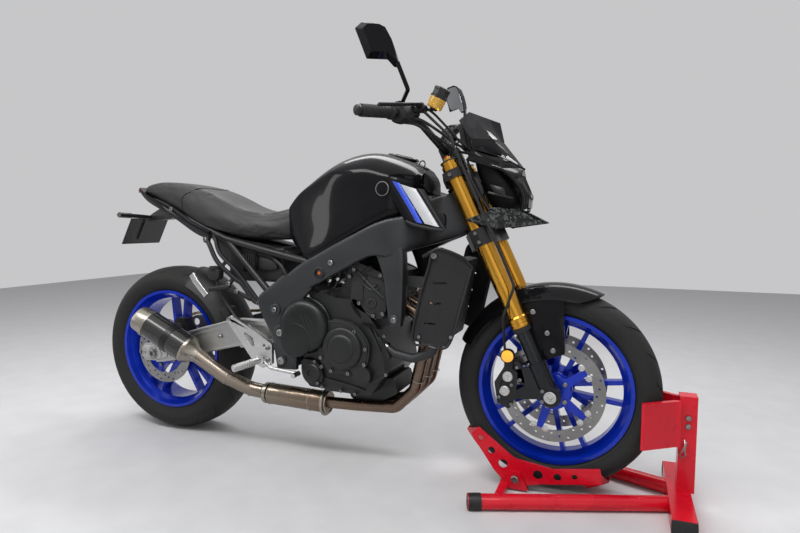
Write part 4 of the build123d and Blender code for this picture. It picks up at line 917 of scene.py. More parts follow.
# %% Mudguard
def arch(radius, half, drop, first, last, nose, tail, thick, rows=70, cols=33):
    """Arched shell: radius less drop times the way across to the power 2.6, its width rounded at both ends."""
    angle = np.radians(np.linspace(first, last, rows))[:, None]
    t = np.linspace(-1, 1, cols)[None, :]
    turn = np.linspace(0, 1, rows)[:, None]
    shape = np.sqrt(np.clip(1 - (1 - np.clip(turn / nose, 0, 1)) ** 2, 0.02, 1))
    shape = shape * np.sqrt(np.clip(1 - (1 - np.clip((1 - turn) / tail, 0, 1)) ** 2, 0.02, 1))
    y = half * t * shape
    grow = np.array([0.0, thick])[:, None, None]
    r = radius + grow - drop * (np.abs(t) ** 2.6) * shape ** 2
    grid = np.stack([r * np.cos(angle), np.broadcast_to(y, r.shape) + grow * 0.6 * t, r * np.sin(angle)], -1)
    return sealed(np.concatenate([grid[1], grid[0][:, ::-1]], axis=1))


def about(centre, patches):
    """The same patches moved so that their origin lies on a centre."""
    return [(p[0] + np.asarray(centre, float), p[1], p[2]) for p in patches]


front_arch = about(front_axle, [arch(314, 76, 44, 65, 157, 0.16, 0.05, 4)])
cheeks = about(front_axle, [shield((-72, -73, 282), (26, -73, 268), (33, -84, 118), (-34, -84, 92), 4, 3),
    shield((-92, -73, 262), (-40, -76, 284), (-30, -84, 96), (-78, -84, 140), 4, 2)])
piece("mudguard", front_arch + both(cheeks), gloss_black, "front_fender", replaces=True)
pair("mudguard_screws", about(front_axle, studs([(-18, -85, 176), (0, -86, 126), (-60, -85, 236)], 8, 5)),
    bolt_steel, "front_fender")

# %% [markdown]
# ## Tyres
# A road tyre is a turned rubber ring whose tread is cut by slanted grooves, mirrored left and right and half a
# pitch apart. A turned grid may be sheared round the axle without changing its shape, so its lines are first
# bent to run along the grooves. Then each groove is a pair of grid lines pushed in, with crisp walls and few
# faces.

# %% Tyres with tread
def tyre(half_profile, centre, pitches, lean, groove_from, groove_to, depth):
    """Turned ring: angle sheared by lean times |y| to the power 1.4; radius less depth where a groove runs."""
    half = curve(half_profile, 34)
    profile = np.concatenate([half[:-1], (half * [-1, 1])[::-1]])
    y, r = profile[None, :, 0], profile[None, :, 1]
    steps = np.array([0.0, 0.012, 0.085, 0.097, 0.22, 0.36, 0.5, 0.512, 0.585, 0.597, 0.72, 0.86])
    phase = (np.arange(pitches)[:, None] + steps).reshape(-1, 1) / pitches * 2 * math.pi
    cut = np.tile(np.isin(np.arange(len(steps)), [1, 2]), pitches)[:, None] * (y < 0)
    cut = cut + np.tile(np.isin(np.arange(len(steps)), [7, 8]), pitches)[:, None] * (y > 0)
    crown = r.max()
    reach = np.clip((np.abs(y) - groove_from) / 3, 0, 1) * np.clip((groove_to - np.abs(y)) / 4, 0, 1)
    reach = reach * (r > crown * 0.86)
    angle = phase + lean * (np.abs(y) / groove_to) ** 1.4
    radius = r - depth * cut * reach
    grid = np.stack([radius * np.cos(angle), np.broadcast_to(y, radius.shape), radius * np.sin(angle)], -1)
    return patch(grid + np.asarray(centre, float), wrap_u=True, wrap_v=True)


front_half = [(0, 217.5), (38, 217.5), (41, 224), (47, 229), (55, 240), (59.6, 257), (57, 271), (47, 284.5),
    (34, 293), (18, 298.4), (0, 300)]
rear_half = [(0, 217.5), (62, 217.5), (66, 224), (74, 230), (84, 244), (89.6, 262), (86, 279), (70, 297),
    (50, 307), (26, 313.4), (0, 315)]
tyre_rubber = finish("tyre_rubber", (0.012, 0.012, 0.012), (0.020, 0.020, 0.019), (0.62, 0.80), grain=700,
    depth=0.2, specular=0.3)
piece("front_tread", [tyre(front_half, front_axle, 20, 0.16, 7, 50, 3.0)], tyre_rubber, "front_tyre",
    replaces=True, smooth=32)
piece("rear_tread", [tyre(rear_half, rear_axle, 18, 0.26, 12, 76, 3.4)], tyre_rubber, "rear_tyre",
    replaces=True, smooth=32)

# %% [markdown]
# Fine rings are moulded into each side wall. They are turned strips, just proud of the surface, and catch the
# light as the real ones do.

# %% Side wall rings
def ring_strip(radius, y, width, height, centre):
    """Low turned strip round the axle at one radius, raised outwards along Y."""
    side = np.sign(y)
    return turned([(0, radius - width), (height, radius - width * 0.7), (height, radius + width * 0.7),
        (0, radius + width)], np.asarray(centre, float) + [0, y, 0], (0, side, 0), 96)


wall_rows = {"front": ((238, 53.4), (262, 59.0)), "rear": ((240, 80.6), (266, 88.8))}
for end, centre in (("front", front_axle), ("rear", rear_axle)):
    wall_rings = [ring_strip(r, side * y, 1.2, 1.0, centre) for side in (-1, 1) for r, y in wall_rows[end]]
    piece(end + "_wall_rings", wall_rings, tyre_rubber, end + "_tyre")


def around(radius, y, angles, centre):
    """Points on a circle about the axle at one Y."""
    return np.asarray(centre, float) + np.stack([radius * np.cos(angles), np.full(len(angles), y),
        radius * np.sin(angles)], -1)


# %% [markdown]
# ## Brake discs
# Each front disc floats on its star carrier through ten bobbins, and five screws hold the carrier to the wheel.
# The drillings are already in the solid; the bright bobbins and screws are studs on two circles.

# %% Bobbins and wheel screws
disc_angles = np.radians(np.arange(5) * 72.0) + math.radians(36)
bobbin_at = np.concatenate([around(113, -73.4, disc_angles + d, front_axle) for d in (-0.16, 0.16)])
pair("disc_bobbins", [outward([(0, 9.5), (2.6, 9.5), (3.4, 8.4), (3.4, 5.5), (1.2, 5), (1.2, 0)], p, 20)
    for p in bobbin_at], bright_metal, "front_discs")
pair("carrier_screws", studs(around(44, -74, disc_angles, front_axle), 7, 5), bolt_steel, "front_rim")
piece("rear_disc_screws", studs(around(58, -101.5, disc_angles, rear_axle), 7, 5), bolt_steel, "rear_disc")
piece("sprocket_nuts", studs(around(60, 114.5, disc_angles, rear_axle), 8, 6, to_left, sides=6, socket=False),
    bolt_steel, "rear_sprocket")

# %% [markdown]
# ## Chain
# A drive chain is pairs of plates, alternately narrow and wide, pinned through rollers. One link is a small
# closed slab with a waist; it is copied along the belt line, which is two arcs joined by the outer tangents of
# the sprockets.

# %% Chain links
def belt(c0, r0, c1, r1, pitch):
    """Evenly spaced points on the line round two circles in XZ: arc, tangent, arc, tangent."""
    d = np.asarray(c1, float) - c0
    gap, base = np.hypot(*d), math.atan2(d[1], d[0])
    lean = math.acos((r0 - r1) / gap)
    a0, a1 = base + lean, base - lean
    arc0, arc1, run = r0 * (2 * math.pi - 2 * lean), r1 * 2 * lean, math.sqrt(gap ** 2 - (r0 - r1) ** 2)
    count = int(round((arc0 + arc1 + 2 * run) / pitch / 2)) * 2
    s = np.arange(count) / count * (arc0 + arc1 + 2 * run)
    arm = lambda c, r, a: np.stack([c[0] + r * np.cos(a), c[1] + r * np.sin(a)], -1)
    on0 = arm(c0, r0, a0 + s / r0)
    t1 = (s - arc0)[:, None] / run
    on1 = arm(c0, r0, a1 + 0 * s) * (1 - t1) + arm(c1, r1, a1 + 0 * s) * t1
    on2 = arm(c1, r1, a1 + (s - arc0 - run) / r1)
    t3 = (s - arc0 - run - arc1)[:, None] / run
    on3 = arm(c1, r1, a0 + 0 * s) * (1 - t3) + arm(c0, r0, a0 + 0 * s) * t3
    pick = np.searchsorted([arc0, arc0 + run, arc0 + run + arc1], s, side="right")
    return np.choose(pick[:, None], [on0, on1, on2, on3])


def link_plates(pins, y_in, y_out, first):
    """Waisted slabs between every second pair of pins: a closed outline swept from y_in to y_out."""
    a, b = pins[first::2], np.roll(pins, -1, axis=0)[first::2]
    along = b - a
    sideways = np.stack([-along[:, 1], along[:, 0]], -1)
    t = np.linspace(0, 2 * math.pi, 14, endpoint=False)
    lx = 0.5 + 0.92 * np.cos(t)
    lz = np.sin(t) * (0.40 + 0.16 * np.cos(2 * t) * 0.5)
    outline = a[:, None] + lx[None, :, None] * along[:, None] + lz[None, :, None] * sideways[:, None]
    middle = outline.mean(1, keepdims=True).repeat(14, 1)
    loops = np.stack([middle, outline, outline, middle], axis=1)
    y = np.array([y_in, y_in, y_out, y_out])[None, :, None].repeat(14, 2).repeat(len(a), 0)
    grids = np.stack([loops[..., 0], y, loops[..., 1]], -1)
    return [patch(g, wrap_v=True) for g in grids]


pitch, front_teeth, rear_teeth = 15.875, 16, 45
front_sprocket_r, rear_sprocket_r = (pitch / 2 / math.sin(math.pi / teeth)
    for teeth in (front_teeth, rear_teeth))
pins = belt((650.0, 447.0), front_sprocket_r, (rear_axle[0], rear_axle[2]), rear_sprocket_r, pitch)
outer_plates = link_plates(pins, 116.2, 118.6, 0) + link_plates(pins, 101.4, 103.8, 0)
inner_plates = link_plates(pins, 113.4, 115.8, 1) + link_plates(pins, 104.2, 106.6, 1)
chain_gold = finish("chain_gold", (0.40, 0.30, 0.14), (0.50, 0.38, 0.18), (0.30, 0.42), metal=1.0, grain=900,
    depth=0.08)
piece("chain_plates", outer_plates + inner_plates, chain_gold, "chain", replaces=True, smooth=30)
piece("chain_rollers", [turned([(-8.4, 0), (-8.4, 3), (-3.6, 3), (-3.6, 5), (3.6, 5), (3.6, 3), (8.4, 3),
    (8.4, 0)], (p[0], 110, p[1]), to_left, 8) for p in pins], chain_steel, "chain", smooth=50)

# %% [markdown]
# ## Silencer
# The silencer is a woven carbon tube between titanium ends. The weave follows the tube, so it reads the piece's
# own UV map: a twill passes over two threads and under two, one step further in each row. One shader group
# turns the map into a mask of threads that lie along or across. Its colour is a painted sheen: threads of one
# direction are painted brighter than the other, each thread lighter along its middle, and the two directions
# also differ in shine.

# %% Carbon weave group
# The Dark and Light colours are the two ends of the painted sheen and shade across the weave.
twill, twill_in, twill_out = group_of("carbon_twill", [("Across", "Float", 60.0), ("Along", "Float", 40.0),
    ("Dark", "Color", (0.006, 0.006, 0.007, 1)), ("Light", "Color", (0.034, 0.034, 0.029, 1)),
    ("Smoothest", "Float", 0.2), ("Roughest", "Float", 0.4)], [("Colour", "Color"), ("Roughness", "Float"),
    ("Height", "Float")])
twill_map = twill.nodes.new("ShaderNodeSeparateXYZ")
twill.links.new(twill.nodes.new("ShaderNodeUVMap").outputs["UV"], twill_map.inputs["Vector"])
cell_u = arithmetic(twill, "MULTIPLY", twill_map.outputs["X"], twill_in.outputs["Across"])
cell_v = arithmetic(twill, "MULTIPLY", twill_map.outputs["Y"], twill_in.outputs["Along"])
stair = arithmetic(twill, "ADD", arithmetic(twill, "FLOOR", cell_u), arithmetic(twill, "FLOOR", cell_v))
over = arithmetic(twill, "LESS_THAN", arithmetic(twill, "FLOORED_MODULO", stair, 4.0), 2.0)
thread_u = arithmetic(twill, "PINGPONG", cell_u, 0.5)
thread_v = arithmetic(twill, "PINGPONG", cell_v, 0.5)
round_u = arithmetic(twill, "MULTIPLY", over, thread_u)
round_v = arithmetic(twill, "MULTIPLY", arithmetic(twill, "SUBTRACT", 1.0, over), thread_v)
thread = arithmetic(twill, "ADD", round_u, round_v)
# Painted sheen and shade: threads of one direction brighter, and each thread lighter along its middle.
lit = arithmetic(twill, "MULTIPLY", arithmetic(twill, "ADD", thread, 0.25),
    arithmetic(twill, "ADD", arithmetic(twill, "MULTIPLY", over, 0.9), 0.35))
twill.links.new(mixed(twill, lit, twill_in.outputs["Dark"], twill_in.outputs["Light"]),
    twill_out.inputs["Colour"])
twill_rough = ranged(twill, over, 0.0, 1.0, twill_in.outputs["Smoothest"], twill_in.outputs["Roughest"])
twill.links.new(twill_rough, twill_out.inputs["Roughness"])
twill.links.new(thread, twill_out.inputs["Height"])
print("group", twill.name)


# %% Carbon and flake finishes
def flake_carbon(name):
    """Pressed chopped carbon: cells of a Voronoi pattern, each a grey of its own, under a thin clear coat."""
    material = finish(name, (0.01, 0.012, 0.011), rough=(0.2, 0.35), coat=0.12, grain=500, depth=0.05,
        specular=0.15)
    tree, shader, _ = parts_of(material)
    cells = tree.nodes.new("ShaderNodeTexVoronoi")
    cells.inputs["Scale"].default_value = 150.0
    tree.links.new(object_coordinates(tree, (1.0, 1.6, 0.7)), cells.inputs["Vector"])
    split = tree.nodes.new("ShaderNodeSeparateXYZ")
    tree.links.new(cells.outputs["Color"], split.inputs["Vector"])
    shade = ranged(tree, split.outputs["X"], 0.55, 1.0, 0.0, 1.0)
    tree.links.new(mixed(tree, shade, (0.003, 0.0035, 0.0035, 1), (0.085, 0.092, 0.086, 1)),
        shader.inputs["Base Color"])
    tree.links.new(ranged(tree, split.outputs["Y"], 0.0, 1.0, 0.18, 0.45), shader.inputs["Roughness"])
    return material


carbon_weave = shaded("carbon_weave", twill, {"Across": 150.0, "Along": 88.0}, 0.15, 0.0004,
    {"Coat Weight": 0.6, "Coat Roughness": 0.05, "Specular IOR Level": 0.3})
carbon_flake = flake_carbon("carbon_flake")
dress(carbon_flake, "winglets")
print("carbon finishes", carbon_weave.name, carbon_flake.name)

# %% [markdown]
# The body is one turned patch with an even grid, so that the weave has the same size all over. The ends are
# turned metal: a long cone at the pipe, a bead, a wide raw ring at the outlet, and a dark bore that goes well
# inside.

# %% Silencer body and ends
can_in, can_out = np.array([236.0, -194.0, 336.0]), np.array([2.0, -216.0, 458.0])
can_axis = unit(can_out - can_in)
can_length = np.linalg.norm(can_out - can_in)
can_front = [turned([(-6, 24), (2, 27), (10, 29.5), (34, 45), (36, 48.8), (46, 49.2), (47, 48), (44, 44),
    (30, 36), (-6, 20)], can_in, can_axis, 64),
    turned([(38, 49.4), (40, 50.2), (43, 50.2), (45, 49.4)], can_in, can_axis, 64)]
rear_ring = [turned([(212, 49.3), (213, 50.4), (222, 50.2), (224, 47.5), (can_length - 3, 44.5),
    (can_length, 43), (can_length, 38), (can_length - 4, 35), (can_length - 60, 32), (can_length - 60, 0)],
    can_in, can_axis, 64)]
raw_titanium = finish("raw_titanium", (0.30, 0.275, 0.23), (0.38, 0.35, 0.30), (0.26, 0.38), metal=1.0,
    grain=420, depth=0.10, stretch=(1, 6, 1))
piece("silencer_tube", [turned([(a, 48.6 + 0.5 * math.sin(math.pi * (a - 42) / 178))
    for a in np.linspace(42, 220, 30)], can_in, can_axis, 64)], carbon_weave, "silencer", replaces=True)
piece("silencer_ends", can_front + rear_ring, raw_titanium, "silencer", smooth=35)
strap_mid = can_in + can_axis * 118
piece("silencer_band", [turned([(-11, 49.6), (-11, 51), (11, 51), (11, 49.6)], strap_mid, can_axis, 64)],
    satin_black, "silencer")
rivet_mid, rivet_u = can_in + can_axis * 218, np.array(to_right)
rivets = np.array([rivet_mid + 50.4 * (math.cos(a) * rivet_u + math.sin(a) * np.cross(can_axis, rivet_u))
    for a in np.arange(10) * math.pi / 5])
piece("silencer_rivets", studs(rivets, 2.6, 1.6, rivets - rivet_mid, sides=8, socket=False), bolt_steel,
    "silencer")

# %% [markdown]
# ## Engine covers
# The right side of the engine is a stack of castings: a domed clutch cover, a many-sided cover over the
# ignition pickup, and the cylinder head with its cam drive. Each cover is an outline in the side view, rounded
# at the corners and pushed out along Y with a soft edge; the domes are turned. Screws sit on measured points.

# %% Clutch, pickup and generator covers
clutch_dome = [outward([(0, 0), (0, 93), (10, 93), (13, 90), (24, 88.5), (34, 84), (41, 76), (45, 64), (46, 50),
    (46, 0)], (652, -150, 466), 96), outward([(34, 57), (46, 56), (49.5, 52), (50, 46), (49, 0)],
    (634, -147, 424), 72)]
clutch_ribs = [hose([(x, -193, 520 - 0.35 * (x - 640)), (x + 18, -195, 488 - 0.35 * (x - 640)),
    (x + 30, -192, 460 - 0.3 * (x - 640))], 3.0, 24, 8, to_left) for x in (650, 666, 682)]
pickup_outline = [(698, 368), (738, 318), (814, 312), (876, 350), (886, 424), (840, 482), (756, 500),
    (706, 458)]
pickup = [slab(pickup_outline, -150, -167, 4),
    slab([(x * 0.94 + 47, z * 0.94 + 24) for x, z in pickup_outline], -166, -170, 3),
    outward([(16, 70), (26, 69), (31, 65), (33, 60), (33, 46), (35, 44), (38, 40), (39, 34), (39, 0)],
    (790, -150, 404), 80)]
pickup_ribs = [hose([(828, -168, 470), (852, -169, 440), (872, -168, 406)], 3.4, 24, 8, to_left),
    hose([(838, -168, 378), (864, -168, 362)], 3, 12, 8, to_left), hose([(744, -168, 486), (790, -168, 488),
    (832, -168, 470)], 3.4, 24, 8, to_left)]
piece("clutch_cover", clutch_dome + clutch_ribs, cover_dark, "engine_covers", replaces=True, smooth=35)
piece("pickup_cover", pickup + pickup_ribs, engine_dark, "engine_covers", smooth=35)
piece("generator_cover", [turned([(0, 0), (0, 86), (12, 86), (26, 80), (34, 68), (36, 52), (36, 0)],
    (790, 150, 402), to_left, 80), slab([(608, 400), (616, 500), (704, 516), (720, 500), (720, 400)], 124, 156,
    5)], engine_dark, "engine_covers", smooth=35)
cover_screws = [(738, -169, 442), (834, -169, 460), (872, -169, 408), (868, -169, 358), (812, -169, 326),
    (752, -169, 328), (714, -169, 368), (716, -166, 338)]
clutch_screws = [(652 + 86 * math.cos(a), -162, 466 + 86 * math.sin(a))
    for a in np.radians([12, 48, 84, 120, 156, 200, 236, 272, 308, 340])]
generator_screws = [(790 + 80 * math.cos(a), 160, 402 + 80 * math.sin(a))
    for a in np.radians(np.arange(8) * 45 + 20)]
piece("cover_screws", studs(cover_screws, 7, 8) + studs(clutch_screws, 5.5, 7)
    + studs(generator_screws, 6, 6, to_left), bolt_steel, "engine_covers")

# %% [markdown]
# The cylinder head leans forward. Its side shows a cam cover with two raised arcs, a core plug, a stiff rim and
# slots between the fixing lugs, painted as gloss black strips for the shade in them. Ribs brace the crankcase
# below it.

# %% Cylinder head, ribs and lugs
head_plate = [slab([(824, 668), (914, 640), (934, 590), (930, 506), (890, 498), (808, 540), (812, 610)], -138,
    -150, 5), slab([(806, 690), (932, 644), (926, 622), (806, 664)], -138, -154, 4)]
cam_arcs = [turned([(0, 34), (6, 34.6), (8, 37), (6, 39.4), (0, 40)], (889, -148, 630), to_right, 40, 0.1, 3.6),
    turned([(0, 22), (6, 22.6), (8, 25), (6, 27.4), (0, 28)], (889, -148, 630), to_right, 40, 0.1, 3.6),
    outward([(0, 17), (4, 16.5), (5, 14), (5, 8), (3, 7), (3, 0)], (884, -149, 551), 32),
    hose([(832, -149, 650), (880, -151, 606), (926, -149, 566)], 5, 30, 10, to_left),
    hose([(852, -149, 650), (852, -150, 600), (850, -149, 540)], 4, 30, 10, to_left),
    hose([(866, -149, 520), (900, -149, 500)], 4, 12, 8, to_left)]
case_ribs = [slab([(x, z), (x + 8, z + 2), (x + 44, z - 62), (x + 36, z - 66)], -146, -158, 3)
    for x, z in ((874, 470), (892, 462), (908, 446))]
case_ribs += [slab([(880, 300), (930, 330), (934, 322), (884, 290)], -146, -156, 2),
    slab([(716, 300), (860, 276), (858, 268), (714, 290)], -146, -156, 2)]
low_case = [slab([(640, 360), (700, 350), (720, 300), (700, 268), (652, 276), (634, 320)], -146, -166, 5),
    outward([(0, 0), (0, 34), (12, 33), (16, 28), (16, 12), (12, 10), (12, 0)], (676, -158, 312), 40),
    slab([(560, 400), (640, 392), (640, 340), (600, 318), (562, 340)], -140, -150, 4)]
piece("cylinder_head", head_plate + cam_arcs + case_ribs + low_case, engine_dark, "engine_block", smooth=35)
# Painted shade: gloss black strips on the head stand for the shadowed slots between the lugs.
piece("head_slot_shade", [slab([(806, 546), (816, 552), (850, 506), (840, 500)], -140, -152, 2, 0.3, 40),
    slab([(846, 484), (856, 490), (906, 480), (900, 468)], -140, -156, 2, 0.3, 40)], gloss_black,
    "engine_block")
head_screws = studs([(842, -150, 549), (891, -150, 512), (826, -152, 655), (806, -142, 632), (916, -152, 640),
    (922, -150, 520)], 7, 8)
case_screws = studs([(726, -166, 502), (730, -166, 456), (714, -160, 522), (648, -166, 552), (660, -166, 288),
    (700, -166, 282), (690, -166, 352), (712, -158, 268), (780, -158, 262), (830, -158, 258), (936, -156, 330),
    (930, -156, 452)], 6, 7)
piece("engine_screws", head_screws + case_screws, bolt_steel, "engine_block")
piece("left_head", mirror_left(head_plate + cam_arcs + case_ribs), engine_dark, "engine_block", smooth=35)

# %% [markdown]
# Behind the cylinders sit the throttle bodies and their rubber boots, wires and a thin fuel rail. They fill the
# dark space under the tank, where the eye expects clutter rather than a flat wall.

# %% Throttle bodies and wiring
cylinders = (-82, 0, 82)
piece("intake_boots", [turned([(-6, 0), (-6, 30), (4, 30), (6, 26), (30, 25), (34, 29), (44, 29), (46, 24),
    (70, 24), (70, 0)], (806, y, 664), (-0.72, 0, 0.42), 36) for y in cylinders], rubber_black, "engine_block")
rail = [hose([(776, -124, 640), (770, 0, 646), (776, 124, 640)], 8, 30, 12),
    hose([(800, -134, 700), (770, -138, 650), (748, -132, 600), (716, -136, 566)], 5, 40, 8),
    hose([(640, -128, 590), (690, -136, 572), (730, -140, 560), (746, -140, 520)], 5, 40, 8, to_left),
    hose([(780, -130, 690), (742, -136, 636), (720, -134, 596)], 4, 40, 8)]
piece("fuel_rail", rail, plastic_black, "engine_block")
clips = [turned([(-5, 7.4), (5, 7.4), (5, 5), (-5, 5), (-5, 7.4)], p, (0.5, 0, 0.86), 14)
    for p in ((757, -134, 622), (731, -137, 616))]
clips += [turned([(0, 0), (0, 9), (16, 9), (18, 6), (26, 6), (26, 0)], (770, -126, 608), (0.5, -0.7, 0.5), 16)]
piece("rail_clips", clips, bright_metal, "engine_block")

# %% [markdown]
# ## Coolant hose and radiator
# The lower hose is a moulded rubber bend held by worm-drive bands. The radiator core is rows of folded fins
# between flat tubes; its relief is real geometry, thin bars across the core's leaning face, because the front
# view shows it.

# %% Coolant bands, core fins and filler cap
bands = [((1078, -122, 428), (0.2, 0.15, 0.96)), ((930, -136, 412), (-0.87, 0.12, 0.48))]
piece("coolant_bands", [turned([(-6, 15.2), (-6, 17), (6, 17), (6, 15.2)], p, a, 28) for p, a in bands],
    bolt_steel, "radiator")
core_top, core_foot = np.array([1150.0, 0, 684.0]), np.array([1100.0, 0, 430.0])
fin_at = core_top + np.linspace(0.05, 0.95, 46)[:, None] * (core_foot - core_top)
piece("radiator_fins", [carried(np.array([p + [1, -138, 0], p + [1, 138, 0]]), circle(1.5, 6)) for p in fin_at],
    core_grey, "radiator")
piece("radiator_tubes", [carried(np.array([[1151, y, 680], [1101, y, 434]]), circle(2.0, 6), forward)
    for y in np.linspace(-126, 126, 15)], satin_black, "radiator")
piece("radiator_cap", [turned([(0, 0), (0, 15), (14, 15), (16, 20), (24, 20), (26, 17), (26, 0)],
    (1122, -128, 690), (0, -0.35, 0.94), 32), hose([(1122, -130, 704), (1108, -140, 722), (1080, -146, 716),
    (1050, -140, 700)], 7, 40, 10, to_left)], plastic_black, "radiator")
pair("radiator_screws", studs([(1104, -198, 706)], 10, 10, (0, -1, 0.1))
    + studs([(1150, -182, 470), (1056, -194, 466)], 6, 5, (0.2, -1, 0)), bolt_steel, "radiator_covers")
pair("radiator_edges", [hose([(1062, -194, 600), (1034, -190, 454), (1090, -196, 446), (1142, -182, 444),
    (1176, -168, 560), (1202, -152, 672)], 4, 60, 8, to_left), hose([(1062, -196, 600), (1084, -198, 668),
    (1106, -198, 726), (1174, -172, 706), (1202, -152, 672)], 4, 60, 8, to_left)], plastic_black,
    "radiator_covers")

# %% [markdown]
# ## Exhaust fittings
# Welded beads ring every joint of the titanium pipes, a flat flange stands before the collector and springs
# hold the silencer's pipe. A bead is a thin torus, here a small circle turned about the pipe's direction.

# %% Welds, flange and springs
def bead(centre, axis, radius, thick):
    """Torus round a pipe: a circle of the bead's size turned about the pipe's axis."""
    a = np.linspace(0, 2 * math.pi, 9)
    return turned([(thick * math.cos(t), radius + thick * math.sin(t)) for t in a], centre, axis, 40)


welds = [bead((704, -100, 198), forward, 36, 2.6), bead((484, -108, 206), forward, 35, 2.6),
    bead((400, -112, 214), (-0.9, -0.2, 0.2), 25.4, 1.8), bead((330, -160, 262), (-0.75, -0.4, 0.5), 25.4, 1.8),
    bead((640, -102, 200), forward, 36, 1.6)]
flange = [turned([(-5, 30), (-5, 43), (-3, 45), (3, 45), (5, 43), (5, 30), (-5, 30)], (694, -100, 198),
    (1, 0, 0.02), 48), turned([(0, 36), (-14, 36), (-22, 29), (-24, 26)], (476, -108, 206), forward, 40)]
for y in cylinders:
    welds += [bead((1012, y, 500), (0.3, 0, -0.95), 20.2, 1.6), bead((1014, y, 300), (-0.2, 0, -1), 20.2, 1.6)]
    flange += [turned([(-5, 18), (-5, 32), (5, 32), (5, 18), (-5, 18)], (944, y, 552), (0.87, 0, -0.48), 8)]
piece("exhaust_welds", welds, raw_titanium, "exhaust")
piece("exhaust_flanges", flange, raw_titanium, "exhaust", smooth=30)


def spring(start, end, radius, wire, turns):
    """Helix between two points: a circle's sine and cosine carried along the line, as a thin round wire."""
    start, end = np.asarray(start, float), np.asarray(end, float)
    axis = unit(end - start)
    e1 = unit(np.cross(axis, [0, 0, 1.0]))
    e2 = np.cross(axis, e1)
    t = np.linspace(0, 1, turns * 14)
    a = 2 * math.pi * turns * t
    path = start + t[:, None] * (end - start) + radius * (np.cos(a)[:, None] * e1 + np.sin(a)[:, None] * e2)
    return carried(path, circle(wire, 6), axis)


side_axis = unit(np.cross(can_axis, [0, 0, 1.0]))
spring_ends = [(can_in + can_axis * 30 + side_axis * k * 45, can_in - can_axis * 30 + side_axis * k * 30)
    for k in (1, -1)]
piece("exhaust_springs", [spring(*ends, 4.5, 1.3, 9) for ends in spring_ends], bolt_steel, "exhaust")

# %% [markdown]
# ## Fork
# The gold tubes of an upside-down fork end in a stack of turned rings above the dust seal. Each top carries a
# coloured adjuster, and pinch screws close the clamps. All of it is turned about the fork's own line, so it is
# written in fork coordinates and raked afterwards.

# %% Fork rings, adjusters and pinch screws
leg_y = -105


def up_fork(profile, s, sides=44):
    """Profile (up, radius) turned about the right leg's line from one height, in fork coordinates."""
    return turned(profile, (0, leg_y, s), upward, sides)


ring_rows = [(0, 27.1), (2, 28.6), (7, 28.6), (9, 27.2), (12, 27.2), (14, 28.4), (17, 28.4), (19, 27.2),
    (23, 27.2), (25, 28.2), (28, 28.2), (30, 27.1)]
pair("fork_rings", on_fork([up_fork(ring_rows, 213)]), gold_tube, "fork_tubes")
pair("fork_seals", on_fork([up_fork([(0, 21.6), (0, 25), (6, 26.6), (14, 26.6), (15, 24)], 199)]), rubber_black,
    "fork_legs")
pair("fork_caps", on_fork([up_fork([(0, 26.5), (3, 26), (5, 22), (5, 16), (3, 15), (3, 0)], 745)]), satin_black,
    "fork_tubes")
pair("fork_adjusters", on_fork([up_fork([(2, 13), (12, 13), (14, 11), (14, 0)], 745, 6),
    up_fork([(13, 6), (18, 6), (19, 5), (19, 0)], 745, 16)]), orange_metal, "fork_tubes", smooth=25)
pair("pinch_screws", on_fork(studs([(-4, -141, 486), (-4, -141, 514), (-4, -139, 703)], 6.5, 7)), bolt_steel,
    "yokes")
piece("stem_nut", on_fork([turned([(0, 20), (8, 20), (9, 18), (9, 11), (2, 10), (2, 0)], (-29, 0, 716), upward,
    6), turned([(0, 25), (3, 24), (3, 0)], (-29, 0, 716), upward, 40)]), bright_metal, "yokes", smooth=25)
piece("axle_end", [outward([(-2, 18), (3, 17.5), (4, 16), (4, 11), (-10, 10), (-10, 0)],
    front_axle + [0, -132, 0], 36)], bright_metal, "front_axle")
pair("axle_pinch", about(front_axle, studs([(-22, -128, 16), (-22, -128, -14)], 6, 6)), bolt_steel, "fork_legs")

# %% [markdown]
# ## Front brakes
# The calipers are black castings with two bright piston caps, a pad pin and radial screws. A reflector in a
# black ring stands above each; its lens carries a painted glow for the light it throws back.

# %% Caliper fittings and reflectors
pair("caliper_caps", [outward([(0, 15.4), (3, 15.4), (5, 13.5), (5, 10), (3.4, 9), (3.4, 5), (4.6, 4),
    (4.6, 0)], front_axle + [x, -118, z], 32) for x, z in ((-124, 45), (-132, 2))], bright_metal,
    "front_calipers")
caliper_ribs = about(front_axle, [slab([(-100, 58), (-134, 74), (-162, 24), (-152, -36), (-120, -52),
    (-104, -14)], -108, -114, 3, 0.25), hose([(-106, -113, 60), (-146, -115, 26), (-142, -113, -34)], 3, 30, 8,
    to_left), slab([(-112, 96), (-90, 88), (-70, 20), (-92, 26)], -98, -112, 3)])
pair("caliper_bodies", caliper_ribs, satin_black, "front_calipers", smooth=35)
pair("caliper_screws", about(front_axle, studs([(-98, -112, 74), (-88, -112, 38), (-112, -116, -36),
    (-148, -115, -18), (-112, -116, 22)], 5.5, 6)), bolt_steel, "front_calipers")
reflector_at = front_axle + [-124, -129, 108]
pair("reflector_lens", [outward([(-8, 17.4), (0.2, 17.4), (1.2, 15), (2.6, 8), (3, 0)], reflector_at, 40)],
    amber_reflex_painted_glow, "reflectors")
pair("reflector_rings", [outward([(-16, 18.3), (-16, 20.4), (0, 20.4), (2, 19), (0, 17.6)], reflector_at, 40)],
    satin_black, "reflectors")

# %% [markdown]
# ## Handlebar
# The rubber grips carry rings that end in a flange, and a weight closes each bar end. On the right perch a
# clear cup shows amber fluid under a black lid. Ribs are part of the turned profile: the radius steps up and
# down along the grip.

